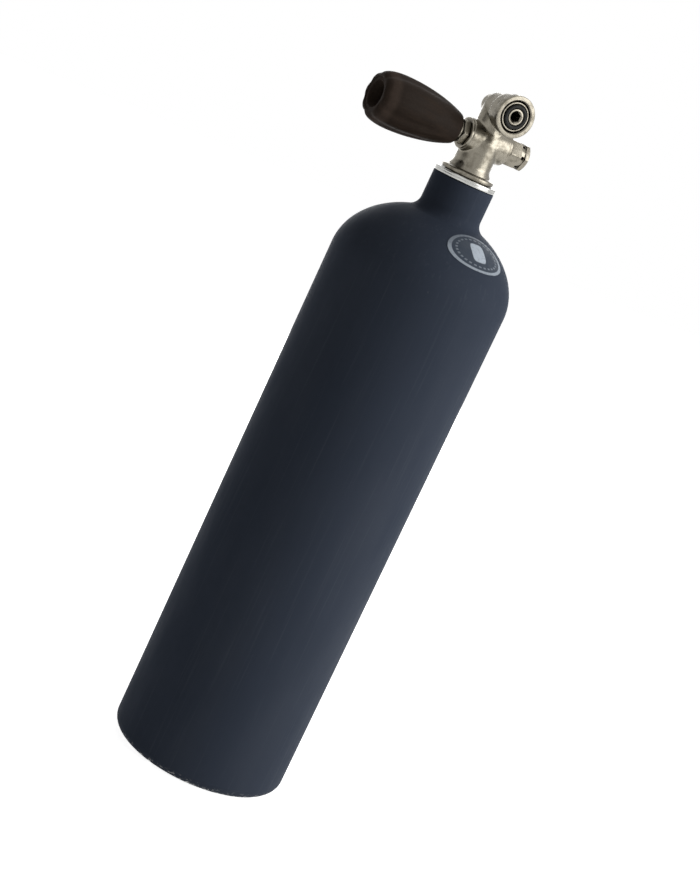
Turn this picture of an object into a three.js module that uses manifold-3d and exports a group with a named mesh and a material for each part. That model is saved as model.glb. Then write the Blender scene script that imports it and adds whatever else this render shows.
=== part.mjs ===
// A compressed-air pack: one seamless aluminium cylinder that stands on its flat base, closed by a
// chromed cross-body valve with a long rubber grip, a convertible outlet and a burst-disc plug.
// Millimetres, +Z up, origin at the centre of the base. The grip points along -X, the outlet along -Y
// and the burst plug along +X.
import * as THREE from "three";
import { mergeVertices } from "three/addons/utils/BufferGeometryUtils.js";
import Module from "manifold-3d";

const wasm = await Module();
wasm.setup();

// --- Driving dimensions -------------------------------------------------------------------------

const GAP = 0.3; // assembly clearance between pieces that touch
const RUN = 0.35; // radial clearance of pieces that turn or slide in one another
const EDGE = 0.6; // chamfer on machined edges

const STEPS = 32; // facets around a turned piece
const SHELL_STEPS = 48; // facets around the cylinder
const SHOULDER_PIECES = 8; // facets up the shoulder
const RING_STEPS = 24; // facets around a seal
const RING_SECTION = 6; // facets around a seal's section

// Cylinder shell
const SHELL_RADIUS = 66.7;
const SHELL_HEIGHT = 467; // base to the top of the neck
const WALL = 9.7;
const BASE_THICKNESS = 14;
const BASE_CORNER = 9;
const INNER_CORNER = 14;
const SHOULDER_RISE = 51.5; // height of the half-ellipse shoulder
const INNER_SHOULDER_RISE = 39.5;
const NECK_RADIUS = 22.8;
const NECK_RISE = 24.5; // top of the neck above the shoulder's apex
const NECK_FILLET = 9;
const NECK_BORE_RADIUS = 12.9;
const SEAL_POCKET_RADIUS = 16.4;
const SEAL_POCKET_DEPTH = 3.7;

// Label on the shoulder
const LABEL_HALF_WIDTH = 26;
const LABEL_HALF_HEIGHT = 15.5;
const LABEL_THICKNESS = 0.5;
const LABEL_CENTRE_RADIUS = 45; // distance of the label's centre from the cylinder's axis
const LABEL_TURN = 11.5; // degrees past the outlet, towards the burst plug

// Valve body, heights above the top of the neck
const RING_HEIGHT = 3.7; // plain metal ring between neck and valve
const RING_RADIUS = 23.5;
const SPIGOT_RADIUS = 16.3;
const FOOT_RADIUS = 19.5;
const FOOT_HEIGHT = 2.9;
const FOOT_CONE = 5.2;
const POST_RADIUS = 13.5;
const UPPER_POST_RADIUS = 10.5;
const STEM_LENGTH = 27; // threaded stem inside the neck
const CROSS_HEIGHT = 31; // axis of the spindle and of the burst plug
const CROSS_LEFT_RADIUS = 11.8;
const CROSS_RIGHT_RADIUS = 12.2;
const CROSS_LEFT = 17; // spindle face, from the cylinder's axis
const CROSS_RIGHT = 18; // burst-plug face
const HEAD_HEIGHT = 55.5; // axis of the outlet
const HEAD_LIP_RADIUS = 14.8;
const HEAD_LIP = 5;
const HEAD_WALL = 1.8; // around the insert's socket
const HEAD_WAIST_RADIUS = 10.5; // between the socket and the boss
const HEAD_FRONT = 27;
const HEAD_BACK = 12.5;
const BOSS_RADIUS = 7.8; // takes the screw of a yoke
const BOSS_LENGTH = 8;
const DIMPLE_RADIUS = 4.5;
const DIMPLE_DEPTH = 1.5;

// Passages
const INLET_RADIUS = 5;
const INLET_TOP = 16;
const SIDE_PASSAGE_RADIUS = 2.5;
const SIDE_PASSAGE_OFFSET = 6;
const ORIFICE_RADIUS = 2.2;
const PRESSURE_BORE_RADIUS = 4;
const RISER_RADIUS = 2.5;
const RISER_OFFSET = 3; // towards the grip
const OUTLET_BORE_RADIUS = 3.25;
const DIP_TUBE_RADIUS = 4.6;
const DIP_TUBE_WALL = 1.2;
const DIP_TUBE_LENGTH = 46;
const DIP_TUBE_ENTRY = 9;

// Spindle, along the grip's axis from the cylinder's axis outwards
const SEAT_FLOOR = -1;
const SEAT_PLUG_RADIUS = 6.5;
const SEAT_PLUG_LENGTH = 9;
const SEAT_NOSE_RADIUS = 5.3; // air flows round the nose to the riser
const SEAT_NOSE_LENGTH = 3.4;
const SEAT_DISC_RADIUS = 4;
const SEAT_DISC_THICKNESS = 2.3;
const SEAT_TRAVEL = 3.125; // two and a half turns of a 1.25 mm pitch
const SLOT_WIDTH = 3;
const SLOT_DEPTH = 4.6;
const TANG_WIDTH = 9.2;
const COLLAR_RADIUS = 5.6;
const COLLAR_THICKNESS = 1.7;
const WASHER_THICKNESS = 0.8;
const SPINDLE_RADIUS = 4;
const SPINDLE_SQUARE = 5.6;
const SPINDLE_THREAD_RADIUS = 2.6;
const BONNET_THREAD_RADIUS = 7.3;
const BONNET_HEX = 17; // across flats
const BONNET_HEX_LENGTH = 4.7;
const BONNET_NOSE_RADIUS = 7.5;
const BONNET_NOSE_LENGTH = 2.5;
const STEM_SEAL_TUBE = 0.75;

// Grip
const HUB_RADIUS = 9;
const HUB_LENGTH = 20;
const HUB_SQUARE_DEPTH = 13;
const HUB_FLANGE_RADIUS = 11.2;
const HUB_FLANGE_START = 12;
const HUB_FLANGE_LENGTH = 3;
const HUB_POCKET_RADIUS = 6.5;
const GRIP_LENGTH = 66.8;
const GRIP_RADIUS = 19.2;
const GRIP_NEAR_RADIUS = 11.6;
const GRIP_RIM_RADIUS = 13.6;
const GRIP_MOUTH_RADIUS = 8.6;
const FLUTES = 8;
const FLUTE_DEPTH = 1.1;
const SPRING_WIRE = 0.65;
const SPRING_RADIUS = 4.5;
const SPRING_LENGTH = 5;
const SPRING_TURNS = 3;
const NUT_HEX = 8;
const NUT_LENGTH = 3.6;

// Outlet insert
const INSERT_RADIUS = 10.9;
const INSERT_LENGTH = 13.4;
const INSERT_HEX = 7; // across flats of the key socket
const FACE_SEAL_RADIUS = 7.25;
const FACE_SEAL_TUBE = 1.3;
const FACE_SEAL_PROUD = 0.5;
const REAR_SEAL_INSET = 2.7; // from the insert's side to the seal's centre line
const REAR_SEAL_TUBE = 1.1;

// Burst plug
const BURST_THREAD_RADIUS = 6;
const BURST_FLOOR = 10;
const BURST_HEX = 18;
const BURST_HEX_LENGTH = 16.5;
const BURST_VENT_RADIUS = 1.3;
const GASKET_THICKNESS = 0.8;
const DISC_THICKNESS = 0.4;

// --- Derived places -----------------------------------------------------------------------------

const SHOULDER_START = SHELL_HEIGHT - NECK_RISE - SHOULDER_RISE;
const INNER_RADIUS = SHELL_RADIUS - WALL;
const CHAMBER_RADIUS = SEAT_PLUG_RADIUS + RUN;
const CHAMBER_END = SEAT_PLUG_LENGTH + SEAT_TRAVEL + GAP;
const COLLAR_START = CHAMBER_END + 0.1;
const BONNET_START = CHAMBER_END + GAP;
const WASHER_START = COLLAR_START + COLLAR_THICKNESS + GAP;
const BONNET_SHOULDER = WASHER_START + WASHER_THICKNESS + GAP;
const BONNET_FACE = CROSS_LEFT + GAP;
const BONNET_END = BONNET_FACE + BONNET_HEX_LENGTH + BONNET_NOSE_LENGTH;
const STEM_SEAL_RADIUS = SPINDLE_RADIUS + RUN + STEM_SEAL_TUBE;
const STEM_SEAL_PLACE = BONNET_FACE + 2;
const SQUARE_START = BONNET_END + 0.4;
const HUB_START = BONNET_END + 1;
const HUB_POCKET_START = HUB_START + HUB_SQUARE_DEPTH;
const SPRING_START = HUB_POCKET_START + GAP + SPRING_WIRE;
const SPRING_END = SPRING_START + SPRING_LENGTH;
const NUT_WASHER_START = SPRING_END + SPRING_WIRE + GAP;
const NUT_START = NUT_WASHER_START + 1 + GAP;
const SPINDLE_END = NUT_START + NUT_LENGTH + 1;
const GRIP_START = HUB_START - 0.4;
const SOCKET_DEPTH = INSERT_LENGTH + GAP;
const REAR_SEAL_RADIUS = INSERT_RADIUS - REAR_SEAL_INSET;

// Frames of the valve: local +Z runs up, out along the grip, out along the burst plug, or out of the
// outlet. In the two horizontal cross frames local Y stays world Y.
const upright = frame(SHELL_HEIGHT, 0, 0);
const spindleLine = frame(SHELL_HEIGHT + CROSS_HEIGHT, 0, -Math.PI / 2);
const burstLine = frame(SHELL_HEIGHT + CROSS_HEIGHT, 0, Math.PI / 2);
const outletLine = frame(SHELL_HEIGHT + HEAD_HEIGHT, Math.PI / 2, 0);

function frame(height, tiltX, tiltY) {
  const group = new THREE.Group();
  group.position.z = height;
  group.rotation.set(tiltX, tiltY, 0);
  group.updateMatrixWorld();
  return group;
}

// --- Geometry helpers ---------------------------------------------------------------------------

// A piece revolved about local Z from [radius, height] pairs. The outline ends on the axis, or is a
// closed loop when its first radius is not zero.
function turned(outline, steps = STEPS) {
  const points = outline.map(([radius, height]) => new THREE.Vector2(radius, height));
  if (outline[0][0] > 0) points.push(points[0].clone());
  const loop = points.concat(points[0]);
  const area = loop.slice(1).reduce((sum, p, i) => sum + loop[i].cross(p), 0);
  if (area < 0) points.reverse();
  return new THREE.LatheGeometry(points, steps).rotateX(Math.PI / 2);
}

// A plain round bar from one height to another, with optional chamfers at its ends.
function bar(radius, from, to, startChamfer = 0, endChamfer = 0, steps = STEPS) {
  return turned(
    [
      [0, from],
      [radius - startChamfer, from],
      ...(startChamfer ? [[radius, from + startChamfer]] : []),
      ...(endChamfer ? [[radius, to - endChamfer]] : []),
      [radius - endChamfer, to],
      [0, to],
    ],
    steps,
  );
}

// A flat-sided ring or washer.
function washer(inner, outer, from, to, steps = STEPS) {
  return turned([[inner, from], [outer, from], [outer, to], [inner, to]], steps);
}

// An O-ring centred on a height.
function seal(radius, tube, height) {
  const section = [];
  for (let i = 0; i < RING_SECTION; i++) {
    const angle = (2 * Math.PI * i) / RING_SECTION;
    section.push([radius + tube * Math.cos(angle), height + tube * Math.sin(angle)]);
  }
  return turned(section, RING_STEPS);
}

// A prism with a regular outline, sized across its flats.
function prism(sides, acrossFlats, from, to) {
  const shape = new THREE.Shape();
  const corner = acrossFlats / 2 / Math.cos(Math.PI / sides);
  for (let i = 0; i < sides; i++) {
    const angle = (2 * Math.PI * (i + 0.5)) / sides;
    shape[i ? "lineTo" : "moveTo"](corner * Math.cos(angle), corner * Math.sin(angle));
  }
  shape.closePath();
  const geometry = new THREE.ExtrudeGeometry(shape, { depth: to - from, bevelEnabled: false });
  return geometry.translate(0, 0, from);
}

// A hexagon head whose corners are turned off at both ends, as a nut's are.
function hexHead(acrossFlats, from, to) {
  const corner = acrossFlats / 2 / Math.cos(Math.PI / 6);
  return solid(prism(6, acrossFlats, from, to))
    .intersect(solid(bar(corner + 0.05, from, to, corner - acrossFlats / 2 + 0.3, corner - acrossFlats / 2 + 0.3)));
}

// A three.js geometry as a manifold-3d solid, placed by an optional frame.
function solid(geometry, place) {
  const bare = geometry.index ? geometry.toNonIndexed() : geometry.clone();
  bare.deleteAttribute("normal");
  bare.deleteAttribute("uv");
  if (place) bare.applyMatrix4(place.matrixWorld);
  const merged = mergeVertices(bare, 1e-4);
  return new wasm.Manifold(
    new wasm.Mesh({
      numProp: 3,
      vertProperties: merged.attributes.position.array,
      triVerts: new Uint32Array(merged.index.array),
    }),
  );
}

// A manifold-3d solid as a three.js geometry, shaded flat.
function geometryOf(made) {
  const mesh = made.getMesh();
  const geometry = new THREE.BufferGeometry();
  geometry.setAttribute("position", new THREE.BufferAttribute(mesh.vertProperties, 3));
  geometry.setIndex(new THREE.BufferAttribute(mesh.triVerts, 1));
  const flat = geometry.toNonIndexed();
  flat.computeVertexNormals();
  return flat;
}

// The [radius, height] points of a round corner, from one angle to another.
function arc(centreRadius, centreHeight, radius, fromDegrees, toDegrees, pieces) {
  const points = [];
  for (let i = 0; i <= pieces; i++) {
    const angle = THREE.MathUtils.degToRad(fromDegrees + ((toDegrees - fromDegrees) * i) / pieces);
    points.push([centreRadius + radius * Math.cos(angle), centreHeight + radius * Math.sin(angle)]);
  }
  return points;
}

// The shoulder's half-ellipse, from the cylinder wall in to a smaller radius, moved out by an offset.
function shoulder(radius, rise, innerRadius, pieces, offset = 0) {
  const end = Math.acos(innerRadius / radius);
  const points = [];
  for (let i = 0; i <= pieces; i++) {
    const angle = (end * i) / pieces;
    points.push([
      (radius + offset) * Math.cos(angle),
      SHOULDER_START + (rise + offset) * Math.sin(angle),
    ]);
  }
  return points;
}

// --- Cylinder -----------------------------------------------------------------------------------

// The concave fillet between the shoulder's ellipse and the neck: the circle that touches the neck and
// has its centre one radius above the ellipse.
function neckFillet() {
  const centreRadius = NECK_RADIUS + NECK_FILLET;
  let angle = Math.PI / 2;
  let foot;
  for (let i = 0; i < 40; i++) {
    const slope = Math.hypot(Math.cos(angle) / SHELL_RADIUS, Math.sin(angle) / SHOULDER_RISE);
    const outward = [
      Math.cos(angle) / SHELL_RADIUS / slope,
      Math.sin(angle) / SHOULDER_RISE / slope,
    ];
    foot = [SHELL_RADIUS * Math.cos(angle), SHOULDER_START + SHOULDER_RISE * Math.sin(angle), ...outward];
    const reach = foot[0] + NECK_FILLET * outward[0];
    angle += (reach - centreRadius) / SHELL_RADIUS;
  }
  const centreHeight = foot[1] + NECK_FILLET * foot[3];
  const footAngle = THREE.MathUtils.radToDeg(Math.atan2(-foot[3], -foot[2]));
  return { footRadius: foot[0], points: arc(centreRadius, centreHeight, NECK_FILLET, footAngle, -180, 3) };
}

function cylinderShell() {
  const fillet = neckFillet();
  return turned(
    [
      [0, 0],
      ...arc(SHELL_RADIUS - BASE_CORNER, BASE_CORNER, BASE_CORNER, -90, 0, 3),
      ...shoulder(SHELL_RADIUS, SHOULDER_RISE, fillet.footRadius, SHOULDER_PIECES).slice(0, -1),
      ...fillet.points,
      [NECK_RADIUS, SHELL_HEIGHT - EDGE],
      [NECK_RADIUS - EDGE, SHELL_HEIGHT],
      [SEAL_POCKET_RADIUS, SHELL_HEIGHT],
      [SEAL_POCKET_RADIUS, SHELL_HEIGHT - SEAL_POCKET_DEPTH],
      [NECK_BORE_RADIUS, SHELL_HEIGHT - SEAL_POCKET_DEPTH],
      ...shoulder(INNER_RADIUS, INNER_SHOULDER_RISE, NECK_BORE_RADIUS, 4).reverse(),
      ...arc(INNER_RADIUS - INNER_CORNER, BASE_THICKNESS + INNER_CORNER, INNER_CORNER, 0, -90, 2),
      [0, BASE_THICKNESS],
    ],
    SHELL_STEPS,
  );
}

// An oval sticker that follows the shoulder below the outlet.
function shoulderLabel() {
  const foot = neckFillet().footRadius;
  const skin = turned(
    [
      ...shoulder(SHELL_RADIUS, SHOULDER_RISE, foot, SHOULDER_PIECES, GAP + LABEL_THICKNESS),
      ...shoulder(SHELL_RADIUS, SHOULDER_RISE, foot, SHOULDER_PIECES, GAP).reverse(),
    ],
    SHELL_STEPS,
  );
  const angle = Math.acos(LABEL_CENTRE_RADIUS / SHELL_RADIUS);
  const tilt = Math.atan2(Math.cos(angle) / SHELL_RADIUS, Math.sin(angle) / SHOULDER_RISE);
  const punch = new THREE.Group();
  punch.position.set(0, -LABEL_CENTRE_RADIUS, SHOULDER_START + SHOULDER_RISE * Math.sin(angle));
  punch.rotation.x = tilt;
  punch.scale.y = LABEL_HALF_HEIGHT / LABEL_HALF_WIDTH;
  const turn = new THREE.Group().add(punch);
  turn.rotation.z = THREE.MathUtils.degToRad(LABEL_TURN);
  turn.updateMatrixWorld();
  return geometryOf(solid(skin).intersect(solid(bar(LABEL_HALF_WIDTH, -20, 20, 0, 0, 36), punch)));
}

// --- Valve body ---------------------------------------------------------------------------------

function valveBody() {
  const footStart = GAP + RING_HEIGHT + GAP;
  const post = turned([
    [0, -STEM_LENGTH],
    [NECK_BORE_RADIUS - GAP - 1, -STEM_LENGTH],
    [NECK_BORE_RADIUS - GAP, -STEM_LENGTH + 1],
    [NECK_BORE_RADIUS - GAP, GAP],
    [SPIGOT_RADIUS, GAP],
    [SPIGOT_RADIUS, footStart],
    [FOOT_RADIUS, footStart],
    [FOOT_RADIUS, footStart + FOOT_HEIGHT],
    [POST_RADIUS, footStart + FOOT_HEIGHT + FOOT_CONE],
    [POST_RADIUS, CROSS_HEIGHT],
    [UPPER_POST_RADIUS, CROSS_HEIGHT + CROSS_LEFT_RADIUS / 2],
    [UPPER_POST_RADIUS, HEAD_HEIGHT],
    [0, HEAD_HEIGHT],
  ]);
  const drum = INSERT_RADIUS + RUN + HEAD_WALL;
  const socketFloor = HEAD_FRONT - SOCKET_DEPTH;
  const head = turned([
    [0, -HEAD_BACK],
    [BOSS_RADIUS - 1, -HEAD_BACK],
    [BOSS_RADIUS, 1 - HEAD_BACK],
    [BOSS_RADIUS, BOSS_LENGTH - HEAD_BACK],
    [HEAD_WAIST_RADIUS, BOSS_LENGTH + 1.5 - HEAD_BACK],
    [HEAD_WAIST_RADIUS, socketFloor - HEAD_WALL - 1.5],
    [drum, socketFloor - HEAD_WALL],
    [drum, HEAD_FRONT - HEAD_LIP - 1],
    [HEAD_LIP_RADIUS, HEAD_FRONT - HEAD_LIP],
    [HEAD_LIP_RADIUS, HEAD_FRONT - 1],
    [HEAD_LIP_RADIUS - 1, HEAD_FRONT],
    [0, HEAD_FRONT],
  ]);
  const pressureEnd = BURST_FLOOR + 2;
  const filled = solid(post, upright)
    .add(solid(bar(CROSS_LEFT_RADIUS, 0, CROSS_LEFT, 0, 1), spindleLine))
    .add(solid(bar(CROSS_RIGHT_RADIUS, 0, CROSS_RIGHT, 0, 1), burstLine))
    .add(solid(head, outletLine));
  const cuts = [
    // threaded socket of the insert, air bore behind it, and the yoke screw's seat at the back
    solid(bar(INSERT_RADIUS + RUN, HEAD_FRONT - SOCKET_DEPTH, HEAD_FRONT + 1), outletLine),
    solid(bar(OUTLET_BORE_RADIUS, -2, HEAD_FRONT - SOCKET_DEPTH + 1, 0, 0, 20), outletLine),
    solid(bar(DIMPLE_RADIUS, -HEAD_BACK - 1, DIMPLE_DEPTH - HEAD_BACK, 0, 0, 24), outletLine),
    // seat chamber, bonnet thread and seat orifice
    solid(bar(CHAMBER_RADIUS, SEAT_FLOOR, CHAMBER_END + 1), spindleLine),
    solid(bar(BONNET_THREAD_RADIUS + GAP, CHAMBER_END, CROSS_LEFT + 1), spindleLine),
    solid(bar(ORIFICE_RADIUS, -SIDE_PASSAGE_OFFSET, SEAT_FLOOR + 1, 0, 0, 16), spindleLine),
    // high-pressure bore and burst port
    solid(bar(PRESSURE_BORE_RADIUS, SIDE_PASSAGE_OFFSET - 1, pressureEnd, 0, 0, 20), burstLine),
    solid(bar(BURST_THREAD_RADIUS + GAP, BURST_FLOOR, CROSS_RIGHT + 1), burstLine),
    // inlet from the dip tube, passage to the high-pressure bore, riser from chamber to outlet
    solid(bar(INLET_RADIUS, -STEM_LENGTH - 1, INLET_TOP, 0, 0, 24), upright),
    solid(
      bar(SIDE_PASSAGE_RADIUS, INLET_TOP - 4, CROSS_HEIGHT, 0, 0, 16)
        .translate(SIDE_PASSAGE_OFFSET, 0, 0),
      upright,
    ),
    solid(
      bar(RISER_RADIUS, CROSS_HEIGHT, HEAD_HEIGHT, 0, 0, 16).translate(-RISER_OFFSET, 0, 0),
      upright,
    ),
  ];
  return geometryOf(cuts.reduce((body, cut) => body.subtract(cut), filled));
}

function dipTube() {
  const top = DIP_TUBE_ENTRY - STEM_LENGTH;
  const bottom = top - DIP_TUBE_LENGTH;
  return turned(
    [
      [DIP_TUBE_RADIUS - DIP_TUBE_WALL, bottom],
      [DIP_TUBE_RADIUS - EDGE, bottom],
      [DIP_TUBE_RADIUS, bottom + EDGE],
      [DIP_TUBE_RADIUS, top],
      [DIP_TUBE_RADIUS - DIP_TUBE_WALL, top],
    ],
    24,
  );
}

// --- Spindle ------------------------------------------------------------------------------------

function bonnetNut() {
  const body = solid(bar(BONNET_THREAD_RADIUS, BONNET_START, BONNET_FACE + 1))
    .add(hexHead(BONNET_HEX, BONNET_FACE, BONNET_FACE + BONNET_HEX_LENGTH))
    .add(solid(bar(BONNET_NOSE_RADIUS, BONNET_FACE + BONNET_HEX_LENGTH - 1, BONNET_END, 0, EDGE)));
  const groove = STEM_SEAL_TUBE + GAP;
  return geometryOf(
    body
      .subtract(solid(bar(COLLAR_RADIUS + RUN, BONNET_START - 1, BONNET_SHOULDER)))
      .subtract(solid(bar(SPINDLE_RADIUS + RUN, BONNET_START, BONNET_END + 1)))
      .subtract(
        solid(
          bar(STEM_SEAL_RADIUS + groove, STEM_SEAL_PLACE - groove, STEM_SEAL_PLACE + groove),
        ),
      ),
  );
}

function spindle() {
  const tangTip = openSlotFloor() + GAP;
  const blade = new THREE.BoxGeometry(
    TANG_WIDTH,
    SLOT_WIDTH - 2 * GAP,
    COLLAR_START + 0.5 - tangTip,
  ).translate(0, 0, (COLLAR_START + 0.5 + tangTip) / 2);
  return geometryOf(
    solid(
      turned([
        [0, COLLAR_START],
        [COLLAR_RADIUS, COLLAR_START],
        [COLLAR_RADIUS, COLLAR_START + COLLAR_THICKNESS],
        [SPINDLE_RADIUS, COLLAR_START + COLLAR_THICKNESS],
        [SPINDLE_RADIUS, SQUARE_START],
        [0, SQUARE_START],
      ]),
    )
      .add(solid(blade))
      .add(solid(prism(4, SPINDLE_SQUARE, SQUARE_START - 0.5, HUB_POCKET_START - GAP)))
      .add(solid(bar(SPINDLE_THREAD_RADIUS, HUB_POCKET_START - 1, SPINDLE_END, 0, 0.5, 20))),
  );
}

// The floor of the seat plug's slot when the valve is fully open.
function openSlotFloor() {
  return SEAT_PLUG_LENGTH - SLOT_DEPTH + SEAT_TRAVEL;
}

function seatPlug() {
  const pocket = bar(SEAT_DISC_RADIUS + GAP, -1, SEAT_DISC_THICKNESS + SEAT_FLOOR + 2 * GAP, 0, 0, 24);
  const slot = new THREE.BoxGeometry(4 * SEAT_PLUG_RADIUS, SLOT_WIDTH, SLOT_DEPTH)
    .translate(0, 0, SEAT_PLUG_LENGTH - SLOT_DEPTH / 2 + 0.005);
  return geometryOf(
    solid(
      turned([
        [0, 0],
        [SEAT_NOSE_RADIUS, 0],
        [SEAT_NOSE_RADIUS, SEAT_NOSE_LENGTH],
        [SEAT_PLUG_RADIUS, SEAT_NOSE_LENGTH + 0.8],
        [SEAT_PLUG_RADIUS, SEAT_PLUG_LENGTH],
        [0, SEAT_PLUG_LENGTH],
      ]),
    )
      .subtract(solid(pocket))
      .subtract(solid(slot)),
  );
}

// --- Grip ---------------------------------------------------------------------------------------

function gripHub() {
  const body = turned([
    [0, HUB_START],
    [HUB_RADIUS - EDGE, HUB_START],
    [HUB_RADIUS, HUB_START + EDGE],
    [HUB_RADIUS, HUB_START + HUB_FLANGE_START],
    [HUB_FLANGE_RADIUS, HUB_START + HUB_FLANGE_START],
    [HUB_FLANGE_RADIUS, HUB_START + HUB_FLANGE_START + HUB_FLANGE_LENGTH],
    [HUB_RADIUS, HUB_START + HUB_FLANGE_START + HUB_FLANGE_LENGTH],
    [HUB_RADIUS, HUB_START + HUB_LENGTH],
    [0, HUB_START + HUB_LENGTH],
  ]);
  return geometryOf(
    solid(body)
      .subtract(solid(prism(4, SPINDLE_SQUARE + 2 * GAP, HUB_START - 1, HUB_POCKET_START + 1)))
      .subtract(solid(bar(HUB_POCKET_RADIUS, HUB_POCKET_START, HUB_START + HUB_LENGTH + 1))),
  );
}

// Outer outline of the grip: swells from the bonnet to its widest near the free end, then rounds in.
function gripOutline() {
  const end = GRIP_START + GRIP_LENGTH;
  const widest = GRIP_START + 0.72 * GRIP_LENGTH;
  const swell = new THREE.CubicBezierCurve(
    new THREE.Vector2(GRIP_NEAR_RADIUS, GRIP_START + 1.5),
    new THREE.Vector2(GRIP_NEAR_RADIUS + 3.6, GRIP_START + 11),
    new THREE.Vector2(GRIP_RADIUS, GRIP_START + 0.42 * GRIP_LENGTH),
    new THREE.Vector2(GRIP_RADIUS, widest),
  );
  const close = new THREE.CubicBezierCurve(
    new THREE.Vector2(GRIP_RADIUS, widest),
    new THREE.Vector2(GRIP_RADIUS, widest + 9),
    new THREE.Vector2(GRIP_RADIUS - 1.6, end),
    new THREE.Vector2(GRIP_RIM_RADIUS, end),
  );
  return [...swell.getPoints(6), ...close.getPoints(5).slice(1)].map((p) => [p.x, p.y]);
}

function gripSleeve() {
  const end = GRIP_START + GRIP_LENGTH;
  const bore = HUB_RADIUS + GAP;
  const flangeBore = HUB_FLANGE_RADIUS + GAP;
  const flangeStart = HUB_START + HUB_FLANGE_START - GAP;
  const flangeEnd = HUB_START + HUB_FLANGE_START + HUB_FLANGE_LENGTH + GAP;
  const hubEnd = HUB_START + HUB_LENGTH + GAP;
  const geometry = turned(
    [
      [bore, GRIP_START],
      [GRIP_NEAR_RADIUS - 0.6, GRIP_START],
      ...gripOutline(),
      [GRIP_MOUTH_RADIUS + 1, end],
      [GRIP_MOUTH_RADIUS, end - 1],
      [GRIP_MOUTH_RADIUS, hubEnd],
      [bore, hubEnd],
      [bore, flangeEnd],
      [flangeBore, flangeEnd],
      [flangeBore, flangeStart],
      [bore, flangeStart],
    ],
    6 * FLUTES,
  );
  return fluted(geometry);
}

// Presses the flutes into the outside of the grip. They fade out towards the bonnet.
function fluted(geometry) {
  const position = geometry.attributes.position;
  const point = new THREE.Vector3();
  for (let i = 0; i < position.count; i++) {
    point.fromBufferAttribute(position, i);
    const radius = Math.hypot(point.x, point.y);
    if (radius < GRIP_RIM_RADIUS - 0.01) continue;
    const run = THREE.MathUtils.smoothstep(point.z - GRIP_START, 12, 30);
    const wave = (1 - Math.cos(FLUTES * Math.atan2(point.y, point.x))) / 2;
    const scale = 1 - (FLUTE_DEPTH * run * wave) / radius;
    position.setXY(i, point.x * scale, point.y * scale);
  }
  return geometry;
}

// A helix of round wire, extruded along its own curve.
class Helix extends THREE.Curve {
  getPoint(t, target = new THREE.Vector3()) {
    const angle = 2 * Math.PI * SPRING_TURNS * t;
    return target.set(
      SPRING_RADIUS * Math.cos(angle),
      SPRING_RADIUS * Math.sin(angle),
      SPRING_START + SPRING_LENGTH * t,
    );
  }
}

function gripSpring() {
  const wire = new THREE.Shape().absarc(0, 0, SPRING_WIRE, 0, 2 * Math.PI);
  return new THREE.ExtrudeGeometry(wire, {
    extrudePath: new Helix(),
    steps: 12 * SPRING_TURNS,
    curveSegments: 3,
    bevelEnabled: false,
  });
}

function gripNut() {
  return geometryOf(
    hexHead(NUT_HEX, NUT_START, NUT_START + NUT_LENGTH).subtract(
      solid(bar(SPINDLE_THREAD_RADIUS + GAP, NUT_START - 1, NUT_START + NUT_LENGTH + 1, 0, 0, 20)),
    ),
  );
}

// --- Outlet -------------------------------------------------------------------------------------

function outletInsert() {
  const back = HEAD_FRONT - INSERT_LENGTH;
  const faceFloor = HEAD_FRONT + FACE_SEAL_PROUD - 2 * FACE_SEAL_TUBE - GAP;
  const faceGroove = washer(
    FACE_SEAL_RADIUS - FACE_SEAL_TUBE - GAP,
    FACE_SEAL_RADIUS + FACE_SEAL_TUBE + GAP,
    faceFloor,
    HEAD_FRONT + 1,
  );
  const rearGroove = washer(
    REAR_SEAL_RADIUS - REAR_SEAL_TUBE - GAP,
    REAR_SEAL_RADIUS + REAR_SEAL_TUBE + GAP,
    back - 1,
    back + 2 * REAR_SEAL_TUBE,
  );
  return geometryOf(
    solid(bar(INSERT_RADIUS, back, HEAD_FRONT, EDGE, 0.4))
      .subtract(solid(faceGroove))
      .subtract(solid(rearGroove))
      .subtract(solid(prism(6, INSERT_HEX, back - 1, HEAD_FRONT + 1))),
  );
}

// --- Burst plug ---------------------------------------------------------------------------------

const BURST_GASKET_START = BURST_FLOOR + GAP;
const BURST_DISC_START = BURST_GASKET_START + GASKET_THICKNESS + GAP;
const BURST_PLUG_START = BURST_DISC_START + DISC_THICKNESS + GAP;
const BURST_HEX_START = CROSS_RIGHT + GAP;

function burstPlug() {
  const end = BURST_HEX_START + BURST_HEX_LENGTH;
  const vent = end - 5;
  let plug = solid(bar(BURST_THREAD_RADIUS, BURST_PLUG_START, BURST_HEX_START + 1, 0.4, 0))
    .add(hexHead(BURST_HEX, BURST_HEX_START, end))
    .subtract(solid(bar(2.4, BURST_PLUG_START - 1, vent + 1.6, 0, 0, 20)));
  for (let i = 0; i < 3; i++) {
    const drill = bar(BURST_VENT_RADIUS, -BURST_HEX, BURST_HEX, 0, 0, 12)
      .rotateX(Math.PI / 2)
      .rotateZ((i * Math.PI) / 3)
      .translate(0, 0, vent);
    plug = plug.subtract(solid(drill));
  }
  return geometryOf(plug);
}

// --- Assembly -----------------------------------------------------------------------------------

const finish = (color, roughness, metalness) =>
  new THREE.MeshStandardMaterial({ color, roughness, metalness });
const NAVY = finish(0x272d3a, 0.45, 0.15);
const CHROME = finish(0xc4c2bb, 0.22, 1);
const BRASS = finish(0xb08d4c, 0.35, 1);
const STEEL = finish(0xa9abad, 0.35, 1);
const COPPER = finish(0xb06a45, 0.4, 1);
const RUBBER = finish(0x2a2422, 0.75, 0);
const SEAL = finish(0x151515, 0.6, 0);
const NYLON = finish(0x1d1c1c, 0.5, 0);
const PTFE = finish(0xe8e6df, 0.5, 0);
const LABEL = finish(0x8b94a0, 0.5, 0.2);

function piece(name, geometry, material) {
  const mesh = new THREE.Mesh(geometry, material);
  mesh.name = name;
  return mesh;
}

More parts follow.
